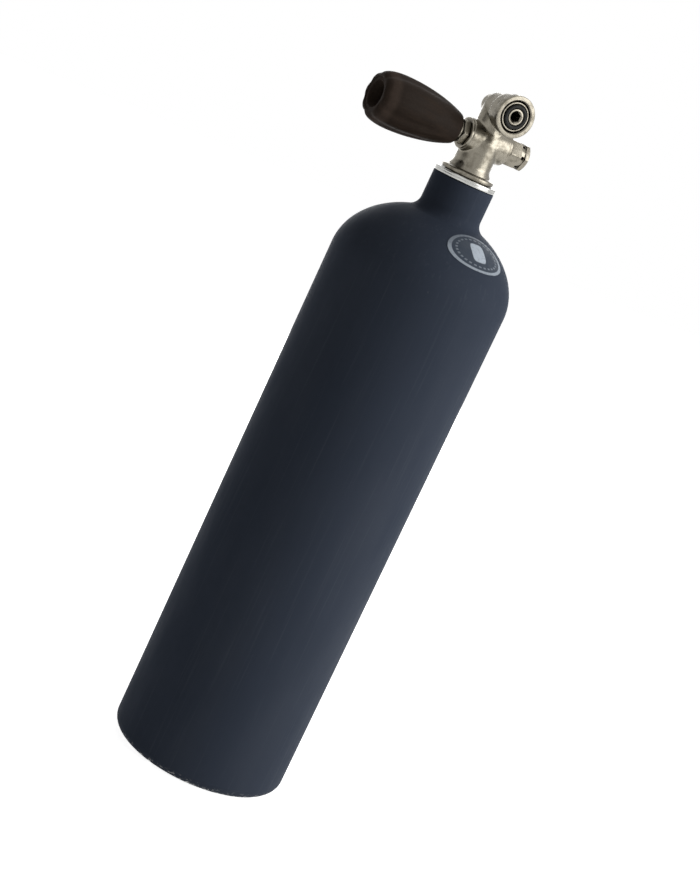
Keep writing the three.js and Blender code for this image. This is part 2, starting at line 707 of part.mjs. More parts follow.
upright.add(
  piece("neck_ring", washer(SPIGOT_RADIUS + GAP, RING_RADIUS, GAP, GAP + RING_HEIGHT), STEEL),
  piece("neck_o_ring", seal(NECK_BORE_RADIUS + 1.75, 1.5, -1.9), SEAL),
  piece("dip_tube", dipTube(), BRASS),
);

spindleLine.add(
  piece("bonnet_nut", bonnetNut(), CHROME),
  piece("stem_o_ring", seal(STEM_SEAL_RADIUS, STEM_SEAL_TUBE, STEM_SEAL_PLACE), SEAL),
  piece("spindle", spindle(), BRASS),
  piece(
    "thrust_washer",
    washer(SPINDLE_RADIUS + RUN, COLLAR_RADIUS, WASHER_START, WASHER_START + WASHER_THICKNESS),
    PTFE,
  ),
  piece("seat_plug", seatPlug(), BRASS),
  piece(
    "seat_disc",
    bar(SEAT_DISC_RADIUS, SEAT_FLOOR + GAP, SEAT_FLOOR + GAP + SEAT_DISC_THICKNESS, 0, 0, 24),
    PTFE,
  ),
  piece("grip_hub", gripHub(), NYLON),
  piece("grip_sleeve", gripSleeve(), RUBBER),
  piece("grip_spring", gripSpring(), STEEL),
  piece(
    "grip_washer",
    washer(SPINDLE_THREAD_RADIUS + GAP, HUB_POCKET_RADIUS - 0.7, NUT_WASHER_START, NUT_WASHER_START + 1),
    STEEL,
  ),
  piece("grip_nut", gripNut(), STEEL),
);

outletLine.add(
  piece("outlet_insert", outletInsert(), CHROME),
  piece(
    "outlet_o_ring",
    seal(FACE_SEAL_RADIUS, FACE_SEAL_TUBE, HEAD_FRONT + FACE_SEAL_PROUD - FACE_SEAL_TUBE),
    SEAL,
  ),
  piece(
    "insert_rear_o_ring",
    seal(REAR_SEAL_RADIUS, REAR_SEAL_TUBE, HEAD_FRONT - INSERT_LENGTH + REAR_SEAL_TUBE - 0.15),
    SEAL,
  ),
);

burstLine.add(
  piece("burst_plug", burstPlug(), CHROME),
  piece(
    "burst_disc",
    bar(BURST_THREAD_RADIUS, BURST_DISC_START, BURST_DISC_START + DISC_THICKNESS, 0, 0, 24),
    COPPER,
  ),
  piece(
    "burst_gasket",
    washer(PRESSURE_BORE_RADIUS + GAP, BURST_THREAD_RADIUS, BURST_GASKET_START,
      BURST_GASKET_START + GASKET_THICKNESS, 24),
    PTFE,
  ),
);

const airPack = new THREE.Group();
airPack.add(
  piece("cylinder_shell", cylinderShell(), NAVY),
  piece("shoulder_label", shoulderLabel(), LABEL),
  piece("valve_body", valveBody(), CHROME),
  upright,
  spindleLine,
  outletLine,
  burstLine,
);

export default airPack;
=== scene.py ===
"""Looks for the compressed-air pack: a satin navy cylinder with a chromed valve and a long rubber grip.

Shapes are written in millimetres in each piece's own frame and placed in metres in the CAD's frame:
local Z runs up the cylinder, out along the grip (-X), out along the burst plug (+X) or out of the
outlet (-Y).
"""

import math

import bmesh
import bpy
from mathutils import Matrix, Vector


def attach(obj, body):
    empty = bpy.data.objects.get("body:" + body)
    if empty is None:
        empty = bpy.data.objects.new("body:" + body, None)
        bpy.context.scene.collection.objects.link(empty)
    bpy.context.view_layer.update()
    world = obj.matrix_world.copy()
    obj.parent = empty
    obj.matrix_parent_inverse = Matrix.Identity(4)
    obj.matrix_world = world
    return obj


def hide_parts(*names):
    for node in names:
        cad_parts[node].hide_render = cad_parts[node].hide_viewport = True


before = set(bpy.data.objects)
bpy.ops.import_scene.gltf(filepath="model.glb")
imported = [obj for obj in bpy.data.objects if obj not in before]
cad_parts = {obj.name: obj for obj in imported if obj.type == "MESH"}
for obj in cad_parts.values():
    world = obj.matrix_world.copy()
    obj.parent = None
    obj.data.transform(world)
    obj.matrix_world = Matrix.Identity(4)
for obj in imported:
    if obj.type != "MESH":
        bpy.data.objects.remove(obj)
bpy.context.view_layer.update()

MM = 0.001
STEPS = 96  # facets around a turned piece
FINE_STEPS = 192  # facets around the cylinder
ON_AXIS = 1e-6  # a point nearer the axis than this is on it
SHARP_ANGLE = math.radians(38)

# --- Sizes in millimetres, as in the CAD ---

GAP = 0.3  # between pieces that fit together
RUN = 0.35  # between pieces that turn in one another
OVERSHOOT = 1.0  # how far a cut or a join reaches past a face, so that no skin is left

# Cylinder, heights above the floor
SHELL_RADIUS = 66.7
SHELL_HEIGHT = 467.0
WALL = 9.7
BASE_THICKNESS = 14.0
BASE_CORNER = 9.0
BASE_RIM = 7.0  # width of the flat ring that it stands on
BASE_DISH = 0.25  # how far the middle of the base is off the floor
INNER_CORNER = 14.0
SHOULDER_RISE = 51.5
INNER_SHOULDER_RISE = 39.5
SHOULDER_START = 391.0
NECK_RADIUS = 22.8
NECK_FILLET = 9.0
NECK_EDGE = 0.7
NECK_BORE_RADIUS = 12.9
SEAL_POCKET_RADIUS = 16.4
SEAL_POCKET_DEPTH = 3.7

# Label on the shoulder
LABEL_HALF_WIDTH = 26.0
LABEL_HALF_HEIGHT = 15.5
LABEL_THICKNESS = 0.22  # of the film, which is thinner than the CAD's
LABEL_LIFT = 0.06  # off the shoulder
LABEL_CENTRE_RADIUS = 45.0
LABEL_TURN = math.radians(11.5)

# Label's print, as shares of its half width or half height
PRINT_RING = (0.87, 0.985)
PRINT_DASHES = (0.69, 0.76)
PRINT_DASH_COUNT = 26
PRINT_BLOCK = (0.24, 0.50)

# Valve body, heights above the top of the neck and lengths from the cylinder's axis
RING_HEIGHT = 3.7
RING_RADIUS = 23.5
SPIGOT_RADIUS = 16.3
FOOT_RADIUS = 19.5
FOOT_START = 4.3
FOOT_HEIGHT = 2.9
FOOT_CONE = 5.2
POST_RADIUS = 13.5
UPPER_POST_RADIUS = 10.5
STEM_LENGTH = 27.0
CROSS_HEIGHT = 31.0
CROSS_LEFT = 17.0
CROSS_LEFT_RADIUS = 11.8
CROSS_RIGHT = 18.0
CROSS_RIGHT_RADIUS = 12.2
HEAD_HEIGHT = 55.5
HEAD_LIP_RADIUS = 14.8
HEAD_LIP = 5.0
HEAD_DRUM_RADIUS = 13.05
HEAD_WALL = 1.8
HEAD_WAIST_RADIUS = 10.5
HEAD_FRONT = 27.0
HEAD_BACK = 12.5
SOCKET_FLOOR = 13.3
SOCKET_RADIUS = 11.25
BOSS_RADIUS = 7.8
BOSS_LENGTH = 8.0
DIMPLE_RADIUS = 4.5
DIMPLE_DEPTH = 1.5
FORGED_SHORT = 1.6  # the forging stops this far from a turned face
VOXEL = 0.55  # grain of the mesh that blends the forging
BLEND_PASSES = 14  # more passes give wider fillets

# Passages in the valve body
INLET_RADIUS = 5.0
INLET_TOP = 16.0
SIDE_PASSAGE_RADIUS = 2.5
SIDE_PASSAGE_OFFSET = 6.0
ORIFICE_RADIUS = 2.2
PRESSURE_BORE_RADIUS = 4.0
RISER_RADIUS = 2.5
RISER_OFFSET = 3.0  # towards the grip
OUTLET_BORE_RADIUS = 3.25
CHAMBER_RADIUS = 6.85
CHAMBER_START = -1.0
CHAMBER_END = 12.425

# Spindle and bonnet, along the grip's line from the cylinder's axis
SPINDLE_RADIUS = 4.0
SPINDLE_SQUARE = 5.6
SPINDLE_THREAD_RADIUS = 2.6
COLLAR_START = 12.525
COLLAR_RADIUS = 5.6
COLLAR_THICKNESS = 1.7
TANG_START = 7.825
TANG_WIDTH = 9.2
TANG_THICKNESS = 2.4
BONNET_START = 12.725
BONNET_FACE = 17.3
BONNET_SHOULDER = 15.625  # the thrust washer bears on it
BONNET_THREAD_RADIUS = 7.3
BONNET_HEX = 17.0
BONNET_HEX_LENGTH = 4.7
BONNET_NOSE_RADIUS = 7.5
BONNET_END = 24.5
STEM_SEAL_RADIUS = 5.1
STEM_SEAL_PLACE = 19.3
STEM_SEAL_ROOM = 1.05  # half the width of the groove

# Burst plug
BURST_THREAD_RADIUS = 6.0
BURST_SHANK_START = 12.1
BURST_FLOOR = 10.0
BURST_HEX = 18.0
BURST_HEX_LENGTH = 16.5
BURST_WAIST_RADIUS = 8.4
BURST_WAIST = (7.0, 3.4)  # start and end, back from the plug's face
BURST_BORE_RADIUS = 2.4
BURST_VENT_RADIUS = 1.3

# Outlet insert
INSERT_RADIUS = 10.9
INSERT_LENGTH = 13.4
INSERT_HEX = 7.0
INSERT_FACE_INSET = 0.9  # of the face outside the seal
FACE_SEAL_RADIUS = 7.25
FACE_SEAL_TUBE = 1.3
FACE_SEAL_PLACE = HEAD_FRONT - 0.8
REAR_SEAL_RADIUS = 8.2
REAR_SEAL_TUBE = 1.1

# Grip and what is in it
GRIP_START = 25.1
GRIP_LENGTH = 66.8
GRIP_RADIUS = 19.2
GRIP_WIDEST = 0.72  # share of the length
GRIP_NEAR_RADIUS = 11.6
GRIP_RIM_RADIUS = 13.6
GRIP_MOUTH_RADIUS = 8.6
FLUTES = 8
FLUTE_DEPTH = 1.1
FLUTE_START = 12.0  # from the grip's near end
FLUTE_RUN_IN = 18.0  # length over which they deepen
HUB_START = 25.5
HUB_RADIUS = 9.0
HUB_LENGTH = 20.0
HUB_FLANGE_RADIUS = 11.2
HUB_FLANGE = (12.0, 15.0)  # start and end, from the hub's near end
HUB_POCKET_RADIUS = 6.5
HUB_POCKET_START = 38.5
SPRING_START = 39.45
SPRING_RADIUS = 4.5
SPRING_WIRE = 0.65
SPRING_LENGTH = 5.0
SPRING_TURNS = 3
WASHER_START = 45.4
WASHER_RADIUS = 5.8
WASHER_THICKNESS = 1.0
NUT_START = 46.7
NUT_HEX = 8.0
NUT_LENGTH = 3.6

# --- Geometry helpers ---


def placed(height, axis, up):
    """The matrix of a piece's frame: local Z along axis and local X along up, at a height above the neck."""
    z = Vector(axis)
    x = Vector(up)
    y = z.cross(x)
    turn = Matrix((x, y, z)).transposed().to_4x4()
    return Matrix.Translation((0, 0, (SHELL_HEIGHT + height) * MM)) @ turn @ Matrix.Scale(MM, 4)


STANDING = Matrix.Scale(MM, 4)
UPRIGHT = placed(0, (0, 0, 1), (1, 0, 0))
SPINDLE_LINE = placed(CROSS_HEIGHT, (-1, 0, 0), (0, 0, 1))
BURST_LINE = placed(CROSS_HEIGHT, (1, 0, 0), (0, 0, 1))
OUTLET_LINE = placed(HEAD_HEIGHT, (0, -1, 0), (1, 0, 0))


def made(name, bm, place):
    """A new object from a bmesh in millimetres, smooth with sharp edges kept."""
    bm.transform(place)
    bmesh.ops.recalc_face_normals(bm, faces=bm.faces)
    mesh = bpy.data.meshes.new(name)
    bm.to_mesh(mesh)
    bm.free()
    smooth(mesh)
    obj = bpy.data.objects.new(name, mesh)
    bpy.context.scene.collection.objects.link(obj)
    return obj


def smooth(mesh):
    mesh.polygons.foreach_set("use_smooth", [True] * len(mesh.polygons))
    mesh.set_sharp_from_angle(angle=SHARP_ANGLE)


def rounded(corners, pieces=4):
    """[radius, height] points from corners given as (radius, height) or (radius, height, fillet)."""
    points = []
    for i, corner in enumerate(corners):
        here = Vector(corner[:2])
        fillet = corner[2] if len(corner) > 2 else 0
        if not fillet:
            points.append(here)
            continue
        before = (Vector(corners[i - 1][:2]) - here).normalized()
        after = (Vector(corners[(i + 1) % len(corners)][:2]) - here).normalized()
        half = before.angle(after) / 2
        start = here + before * (fillet / math.tan(half))
        end = here + after * (fillet / math.tan(half))
        centre = here + (before + after).normalized() * (fillet / math.sin(half))
        for k in range(pieces + 1):
            step = start.lerp(end, k / pieces) - centre
            points.append(centre + step.normalized() * fillet)
    return points


def arc(centre_radius, centre_height, radius, start, end, pieces):
    """Points of a round stretch, from one angle to another in degrees."""
    points = []
    for k in range(pieces + 1):
        angle = math.radians(start + (end - start) * k / pieces)
        x = centre_radius + radius * math.cos(angle)
        points.append(Vector((x, centre_height + radius * math.sin(angle))))
    return points


def revolve(bm, outline, steps, shape):
    """Revolves an outline about local Z. It ends on the axis or closes on itself.

    shape, if given, says the radius of an outline's point at an angle.
    """
    rings = []
    for point in outline:
        if point[0] < ON_AXIS:
            rings.append([bm.verts.new((0, 0, point[1]))])
            continue
        ring = []
        for k in range(steps):
            angle = 2 * math.pi * k / steps
            radius = shape(point, angle) if shape else point[0]
            ring.append(bm.verts.new((radius * math.cos(angle), radius * math.sin(angle), point[1])))
        rings.append(ring)
    pairs = list(zip(rings, rings[1:]))
    if outline[0][0] > ON_AXIS:
        pairs.append((rings[-1], rings[0]))
    for low, high in pairs:
        for k in range(steps):
            after = (k + 1) % steps
            below = [low[k % len(low)], low[after % len(low)]]
            above = [high[after % len(high)], high[k % len(high)]]
            face = list(dict.fromkeys(below + above))
            if len(face) > 2:
                bm.faces.new(face)


def turned(name, outline, place, steps=STEPS, shape=None):
    """A piece revolved about local Z of its place."""
    bm = bmesh.new()
    revolve(bm, outline, steps, shape)
    return made(name, bm, place)


def bar(radius, start, end, edge=0.0):
    """The outline of a round bar, with its end edges rounded by edge."""
    return rounded([(0, start), (radius, start, edge), (radius, end, edge), (0, end)])


def prism(name, sides, across_flats, start, end, place):
    """A bar with flat sides along local Z of its place."""
    bm = bmesh.new()
    corner = across_flats / 2 / math.cos(math.pi / sides)
    rings = []
    for height in (start, end):
        angles = [2 * math.pi * (k + 0.5) / sides for k in range(sides)]
        rings.append([bm.verts.new((corner * math.cos(a), corner * math.sin(a), height)) for a in angles])
    bm.faces.new(rings[0])
    bm.faces.new(rings[1])
    for k in range(sides):
        after = (k + 1) % sides
        bm.faces.new([rings[0][k], rings[0][after], rings[1][after], rings[1][k]])
    return made(name, bm, place)


def apply_modifiers(obj):
    graph = bpy.context.evaluated_depsgraph_get()
    mesh = bpy.data.meshes.new_from_object(obj.evaluated_get(graph))
    obj.modifiers.clear()
    obj.data = mesh
    smooth(mesh)
    return obj


def boolean(obj, operation, tools):
    """Joins or cuts with each tool in turn, then drops the tools."""
    for tool in tools:
        cut = obj.modifiers.new("cut", "BOOLEAN")
        cut.operation = operation
        cut.solver = "MANIFOLD"
        cut.object = tool
    apply_modifiers(obj)
    for tool in tools:
        bpy.data.objects.remove(tool)
    return obj


def bevel(obj, width):
    """Eases the sharp edges by a width in millimetres."""
    edge = obj.modifiers.new("bevel", "BEVEL")
    edge.width = width * MM
    edge.segments = 2
    edge.limit_method = "ANGLE"
    edge.angle_limit = math.radians(30)
    return apply_modifiers(obj)


def hex_head(name, across_flats, start, end, place, chamfer_rise=0.12):
    """A hexagon with its corners turned off at both ends and its edges eased."""
    corner = across_flats / 2 / math.cos(math.pi / 6)
    face_radius = across_flats / 2 - 0.15
    drop = (corner - face_radius) * math.tan(math.radians(30)) + chamfer_rise
    cone = [
        (0, start), (face_radius, start), (corner + 0.1, start + drop),
        (corner + 0.1, end - drop), (face_radius, end), (0, end),
    ]
    nut = prism(name, 6, across_flats, start, end, place)
    boolean(nut, "INTERSECT", [turned("cone", cone, place)])
    return bevel(nut, 0.22)


def helix_tube(name, radius, wire, start, length, turns, place):
    """A round wire wound round local Z of its place."""
    sides = 12
    steps = 40 * turns
    bm = bmesh.new()
    rings = []
    for k in range(steps + 1):
        t = k / steps
        angle = 2 * math.pi * turns * t
        out = Vector((math.cos(angle), math.sin(angle), 0))
        centre = out * radius + Vector((0, 0, start + length * t))
        ring = []
        for side in range(sides):
            a = 2 * math.pi * side / sides
            ring.append(bm.verts.new(centre + out * wire * math.cos(a) + Vector((0, 0, wire * math.sin(a)))))
        rings.append(ring)
    for low, high in zip(rings, rings[1:]):
        for side in range(sides):
            after = (side + 1) % sides
            bm.faces.new([low[side], low[after], high[after], high[side]])
    bm.faces.new(rings[0])
    bm.faces.new(rings[-1])
    return made(name, bm, place)


def thread(radius, pitch, depth, start, end):
    """The outline of a threaded stretch as rings of the pitch, with crests at the radius."""
    crest_start, crest_end = 0.38 * pitch, 0.62 * pitch
    points = []
    count = int((end - start) / pitch)
    first = start + (end - start - count * pitch) / 2
    for k in range(count):
        base = first + k * pitch
        points += [(radius - depth, base), (radius, base + crest_start), (radius, base + crest_end)]
    points.append((radius - depth, first + count * pitch))
    return [Vector(p) for p in points]


# --- Material helpers ---


class Finish:
    """A Principled material with helpers for the nodes that give a surface its detail."""

    def __init__(self, name, color, roughness, metallic=0.0, specular=0.5):
        self.material = bpy.data.materials.new(name)
        self.material.use_nodes = True
        self.nodes = self.material.node_tree.nodes
        self.links = self.material.node_tree.links
        self.shader = self.nodes["Principled BSDF"]
        self.shader.inputs["Base Color"].default_value = (*color, 1)
        self.shader.inputs["Roughness"].default_value = roughness
        self.shader.inputs["Metallic"].default_value = metallic
        self.shader.inputs["Specular IOR Level"].default_value = specular
        self.normal = None
        self.place = self.nodes.new("ShaderNodeTexCoord").outputs["Object"]

    def math(self, operation, a, b=0.0, clamp=False):
        node = self.nodes.new("ShaderNodeMath")
        node.operation = operation
        node.use_clamp = clamp
        for socket, value in zip(node.inputs, (a, b)):
            if isinstance(value, (int, float)):
                socket.default_value = value
            else:
                self.links.new(value, socket)
        return node.outputs[0]

    def stretched(self, scale):
        """Coordinates multiplied by a scale along each axis, so a small one draws the pattern out."""
        node = self.nodes.new("ShaderNodeMapping")
        node.inputs["Scale"].default_value = scale
        self.links.new(self.place, node.inputs["Vector"])
        return node.outputs[0]

    def noise(self, scale, detail=2.0, roughness=0.5, source=None):
        """Noise with features of about 1 / scale metres."""
        node = self.nodes.new("ShaderNodeTexNoise")
        node.inputs["Scale"].default_value = scale
        node.inputs["Detail"].default_value = detail
        node.inputs["Roughness"].default_value = roughness
        self.links.new(source or self.place, node.inputs["Vector"])
        return node.outputs["Fac"]

    def cells(self, scale):
        """Rounded grains of about 1 / scale metres, 0 at each middle."""
        node = self.nodes.new("ShaderNodeTexVoronoi")
        node.inputs["Scale"].default_value = scale
        self.links.new(self.place, node.inputs["Vector"])
        return node.outputs["Distance"]

    def ranged(self, value, low, high, out_low=0.0, out_high=1.0):
        """A value moved from one range to another and held inside it."""
        node = self.nodes.new("ShaderNodeMapRange")
        node.interpolation_type = "SMOOTHSTEP"
        node.inputs["From Min"].default_value = low
        node.inputs["From Max"].default_value = high
        node.inputs["To Min"].default_value = out_low
        node.inputs["To Max"].default_value = out_high
        self.links.new(value, node.inputs["Value"])
        return node.outputs[0]

    def split(self, source=None):
        """The X, Y and Z of a place."""
        node = self.nodes.new("ShaderNodeSeparateXYZ")
        self.links.new(source or self.place, node.inputs[0])
        return node.outputs

    def mixed(self, factor, a, b):
        """Colour a where the factor is 0 and b where it is 1."""
        node = self.nodes.new("ShaderNodeMix")
        node.data_type = "RGBA"
        self.links.new(factor, node.inputs[0])
        for socket, value in ((node.inputs[6], a), (node.inputs[7], b)):
            if isinstance(value, tuple):
                socket.default_value = (*value, 1)
            else:
                self.links.new(value, socket)
        return node.outputs[2]

    def crevice(self, reach, deep, open_):
        """1 down in corners and 0 out in the open, judged over a reach in millimetres."""
        node = self.nodes.new("ShaderNodeAmbientOcclusion")
        node.samples = 8
        node.inputs["Distance"].default_value = reach * MM
        return self.ranged(node.outputs["AO"], deep, open_, 1.0, 0.0)

    def color(self, value):
        self.links.new(value, self.shader.inputs["Base Color"])

    def roughness(self, value):
        self.links.new(value, self.shader.inputs["Roughness"])

    def metallic(self, value):
        self.links.new(value, self.shader.inputs["Metallic"])

    def bump(self, height, depth, strength=1.0):
        """Adds relief of about depth millimetres on top of what is there."""
        node = self.nodes.new("ShaderNodeBump")
        node.inputs["Strength"].default_value = strength
        node.inputs["Distance"].default_value = depth * MM
        self.links.new(height, node.inputs["Height"])
        if self.normal:
            self.links.new(self.normal, node.inputs["Normal"])
        self.normal = node.outputs[0]
        self.links.new(self.normal, self.shader.inputs["Normal"])


# --- Materials ---

NAVY = (0.0315, 0.0395, 0.0570)
NAVY_WORN = (0.0385, 0.0465, 0.0640)
BARE_ALUMINIUM = (0.42, 0.42, 0.41)
CHROME = (0.215, 0.198, 0.162)
CHROME_DULL = (0.115, 0.103, 0.080)
# Painted shade: the dark tone laid into the chrome's corners and joins
PAINTED_CREVICE_SHADE = (0.035, 0.030, 0.022)
STEEL = (0.45, 0.45, 0.43)
BRASS = (0.55, 0.40, 0.17)
COPPER = (0.60, 0.28, 0.15)
RUBBER = (0.0125, 0.0078, 0.0050)
# Paler rubber, used for the scuffs and for the painted highlight on the end rim
RUBBER_SCUFF_AND_HIGHLIGHT = (0.062, 0.044, 0.034)
NITRILE = (0.008, 0.008, 0.007)
NYLON = (0.016, 0.015, 0.015)
FLUOROPOLYMER = (0.72, 0.70, 0.65)
LABEL_PALE = (0.42, 0.47, 0.53)
LABEL_DARK = (0.023, 0.033, 0.050)


def navy_coat():
    """Satin powder coat: fine orange peel, faint lengthwise rubbing, scuffs at the base rim."""
    coat = Finish("navy_coat", NAVY, 0.72, specular=0.05)
    cloud = coat.noise(14, 3, 0.6, coat.stretched((1, 1, 0.25)))
    rubbed = coat.ranged(coat.noise(420, 2, 0.6, coat.stretched((1, 1, 0.02))), 0.56, 0.74)
    tone = coat.mixed(coat.ranged(cloud, 0.35, 0.7), NAVY, NAVY_WORN)
    height = coat.split()[2]
    rim = coat.ranged(height, 1.2 * MM, 7.5 * MM, 1.0, 0.0)
    chips = coat.ranged(coat.noise(330, 4, 0.7), 0.55, 0.60)
    bare = coat.math("MULTIPLY", rim, chips, clamp=True)
    speck = coat.ranged(coat.noise(90, 2, 0.5), 0.78, 0.80)
    tone = coat.mixed(coat.math("MULTIPLY", rubbed, 0.16), tone, (0.075, 0.085, 0.105))
    tone = coat.mixed(coat.math("MULTIPLY", speck, 0.25), tone, (0.11, 0.12, 0.13))
    coat.color(coat.mixed(bare, tone, BARE_ALUMINIUM))
    coat.metallic(bare)
    smear = coat.noise(30, 3, 0.6, coat.stretched((1, 1, 0.4)))
    coat.roughness(coat.ranged(smear, 0.3, 0.7, 0.66, 0.78))
    coat.bump(coat.noise(700, 2, 0.5), 0.05, 0.35)
    coat.bump(coat.noise(2600, 1, 0.5), 0.02, 0.30)
    coat.bump(coat.math("SUBTRACT", 0.0, bare), 0.10, 0.5)
    return coat.material


def chrome_plate():
    """Chrome over forged brass: soft waviness, rub marks, duller, yellower patches, and painted shade that
    darkens its corners and joins.
    """
    plate = Finish("chrome_plate", CHROME, 0.16, metallic=1.0)
    patch = plate.ranged(plate.noise(160, 4, 0.65), 0.42, 0.68)
    pits = plate.ranged(plate.noise(1900, 2, 0.6), 0.66, 0.76)
    dullness = plate.math("MAXIMUM", plate.math("MULTIPLY", patch, 0.8), pits)
    metal = plate.mixed(dullness, CHROME, CHROME_DULL)
    # Painted shade: ambient occlusion darkens the corners and the joins between barrels
    plate.color(plate.mixed(plate.crevice(5.0, 0.25, 0.75), metal, PAINTED_CREVICE_SHADE))
    fine = plate.noise(520, 3, 0.7)
    rubbed = plate.ranged(fine, 0.3, 0.75, 0.24, 0.36)
    plate.roughness(plate.math("ADD", rubbed, plate.math("MULTIPLY", patch, 0.14)))
    plate.bump(plate.noise(230, 2, 0.5), 0.12, 0.45)
    plate.bump(plate.noise(2400, 2, 0.6), 0.012, 0.35)
    return plate.material


def turned_metal(name, tone, dull, axis, roughness=0.26):
    """Machined metal with fine lathe rings along an axis, 0 for X and 2 for Z."""
    metal = Finish(name, tone, roughness, metallic=1.0)
    scale = [60.0, 60.0, 60.0]
    scale[axis] = 5200.0  # many rings along the axis, little change around it
    rings = metal.noise(1, 2, 0.6, metal.stretched(tuple(scale)))
    patch = metal.ranged(metal.noise(240, 3, 0.6), 0.4, 0.7)
    metal.color(metal.mixed(patch, tone, dull))
    metal.roughness(metal.ranged(rings, 0.3, 0.7, roughness - 0.06, roughness + 0.12))
    metal.bump(rings, 0.015, 0.5)
    return metal.material


def grip_rubber():
    """Brown-black moulded rubber: fine leathery grain, scuffed paler on the lands, and a painted highlight on
    the end rim.
    """
    rubber = Finish("grip_rubber", RUBBER, 0.70, specular=0.07)
    along = rubber.math("MULTIPLY", rubber.split()[0], -1 / MM)
    # Painted highlight: a band round the rounded far end is paled where it would catch the light
    rim_start = rubber.ranged(along, 79.5, 84.5)
    rim_end = rubber.ranged(along, 87.0, 90.0, 1.0, 0.25)
    rim = rubber.math("MULTIPLY", rim_start, rim_end)
    streak = rubber.ranged(rubber.noise(260, 3, 0.6, rubber.stretched((0.12, 1, 1))), 0.42, 0.72)
    dust = rubber.ranged(rubber.noise(900, 3, 0.7), 0.45, 0.75)
    scuff_and_rim_highlight = rubber.math("ADD", rubber.math("MULTIPLY", streak, 0.22), rubber.math("MULTIPLY", dust, 0.12))
    # adds the painted rim highlight on top of the streaks and dust
    scuff_and_rim_highlight = rubber.math("ADD", scuff_and_rim_highlight, rubber.math("MULTIPLY", rim, 0.45), clamp=True)
    rubber.color(rubber.mixed(scuff_and_rim_highlight, RUBBER, RUBBER_SCUFF_AND_HIGHLIGHT))
    rubber.roughness(rubber.ranged(streak, 0.0, 1.0, 0.60, 0.78))
    rubber.bump(rubber.cells(1500), 0.05, 0.5)
    rubber.bump(rubber.noise(3200, 2, 0.6), 0.02, 0.4)
    return rubber.material


def moulded(name, tone, roughness):
    """A plain moulded plastic or seal with a faint grain and a little colour drift."""
    stuff = Finish(name, tone, roughness, specular=0.2)
    paler = tuple(min(1.0, 1.3 * c + 0.003) for c in tone)
    stuff.color(stuff.mixed(stuff.ranged(stuff.noise(420, 3, 0.6), 0.4, 0.75), tone, paler))
    stuff.roughness(stuff.ranged(stuff.noise(700, 2, 0.6), 0.3, 0.7, roughness - 0.06, roughness + 0.08))
    stuff.bump(stuff.noise(1800, 2, 0.6), 0.02, 0.4)
    return stuff.material


def label_film():
    """A printed film: a pale oval ring, a ring of plain dashes inside it and a pale block in the middle."""
    film = Finish("label_film", LABEL_DARK, 0.5, specular=0.2)
    uv = film.nodes.new("ShaderNodeUVMap")
    uv.uv_map = "face"
    x, y, _ = film.split(uv.outputs[0])
    squares = film.math("ADD", film.math("MULTIPLY", x, x), film.math("MULTIPLY", y, y))
    radius = film.math("SQRT", squares)
    turn = film.math("DIVIDE", film.math("ARCTAN2", y, x), 2 * math.pi)

    def band(low, high, soft=0.012):
        """1 between two radii and 0 outside them, with a soft edge."""
        inner = film.ranged(radius, low - soft, low + soft)
        outer = film.ranged(radius, high - soft, high + soft, 1.0, 0.0)
        return film.math("MULTIPLY", inner, outer)

    dash_turn = film.math("MULTIPLY", turn, PRINT_DASH_COUNT)
    dashes = film.math("LESS_THAN", film.math("FRACT", dash_turn), 0.55)
    ring = film.math("MULTIPLY", band(*PRINT_RING), film.ranged(y, -0.1, 0.6, 0.64, 0.34))
    inner_ring = film.math("MULTIPLY", film.math("MULTIPLY", band(*PRINT_DASHES), dashes), 0.30)
    across = film.math("POWER", film.math("DIVIDE", x, PRINT_BLOCK[0]), 4)
    upward = film.math("POWER", film.math("DIVIDE", y, PRINT_BLOCK[1]), 4)
    block = film.ranged(film.math("ADD", across, upward), 0.75, 1.25, 1.0, 0.0)
    ink = film.math("MAXIMUM", film.math("MAXIMUM", ring, inner_ring), block)
    wear = film.ranged(film.noise(420, 4, 0.7), 0.50, 0.72, 1.0, 0.55)
    film.color(film.mixed(film.math("MULTIPLY", ink, wear), LABEL_DARK, LABEL_PALE))
    film.roughness(film.ranged(film.noise(200, 3, 0.6), 0.3, 0.7, 0.45, 0.6))
    film.bump(ink, 0.02, 0.4)
    film.bump(film.noise(1200, 2, 0.5), 0.015, 0.3)
    return film.material


NAVY_COAT = navy_coat()
CHROME_PLATE = chrome_plate()
BRIGHT_RING = turned_metal("bright_ring", STEEL, (0.46, 0.46, 0.44), 2, 0.2)
BRIGHT_STEEL = turned_metal("bright_steel", STEEL, (0.36, 0.36, 0.35), 0)
PLAIN_BRASS = turned_metal("plain_brass", BRASS, (0.34, 0.24, 0.11), 0)
COPPER_FOIL = turned_metal("copper_foil", COPPER, (0.32, 0.15, 0.09), 0)
GRIP_RUBBER = grip_rubber()
SEAL_RUBBER = moulded("seal_rubber", NITRILE, 0.6)
BLACK_NYLON = moulded("black_nylon", NYLON, 0.42)
WHITE_PLASTIC = moulded("white_plastic", FLUOROPOLYMER, 0.5)
LABEL_FILM = label_film()


def finished(obj, material, slot, body, *nodes):
    """Gives a piece its material, and puts it on its body in place of the CAD nodes it stands for."""
    obj.data.materials.clear()
    obj.data.materials.append(material)
    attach(obj, body)
    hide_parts(*nodes)
    return obj


# --- Cylinder ---


def shoulder(radius, rise, inner_radius, pieces):
    """The shoulder's half-ellipse, from the wall in to a smaller radius."""
    end = math.acos(inner_radius / radius)
    angles = [end * k / pieces for k in range(pieces + 1)]
    return [Vector((radius * math.cos(a), SHOULDER_START + rise * math.sin(a))) for a in angles]


def shoulder_normal(angle):
    """The way out of the shoulder at an angle of its half-ellipse."""
    return Vector((math.cos(angle) / SHELL_RADIUS, math.sin(angle) / SHOULDER_RISE)).normalized()


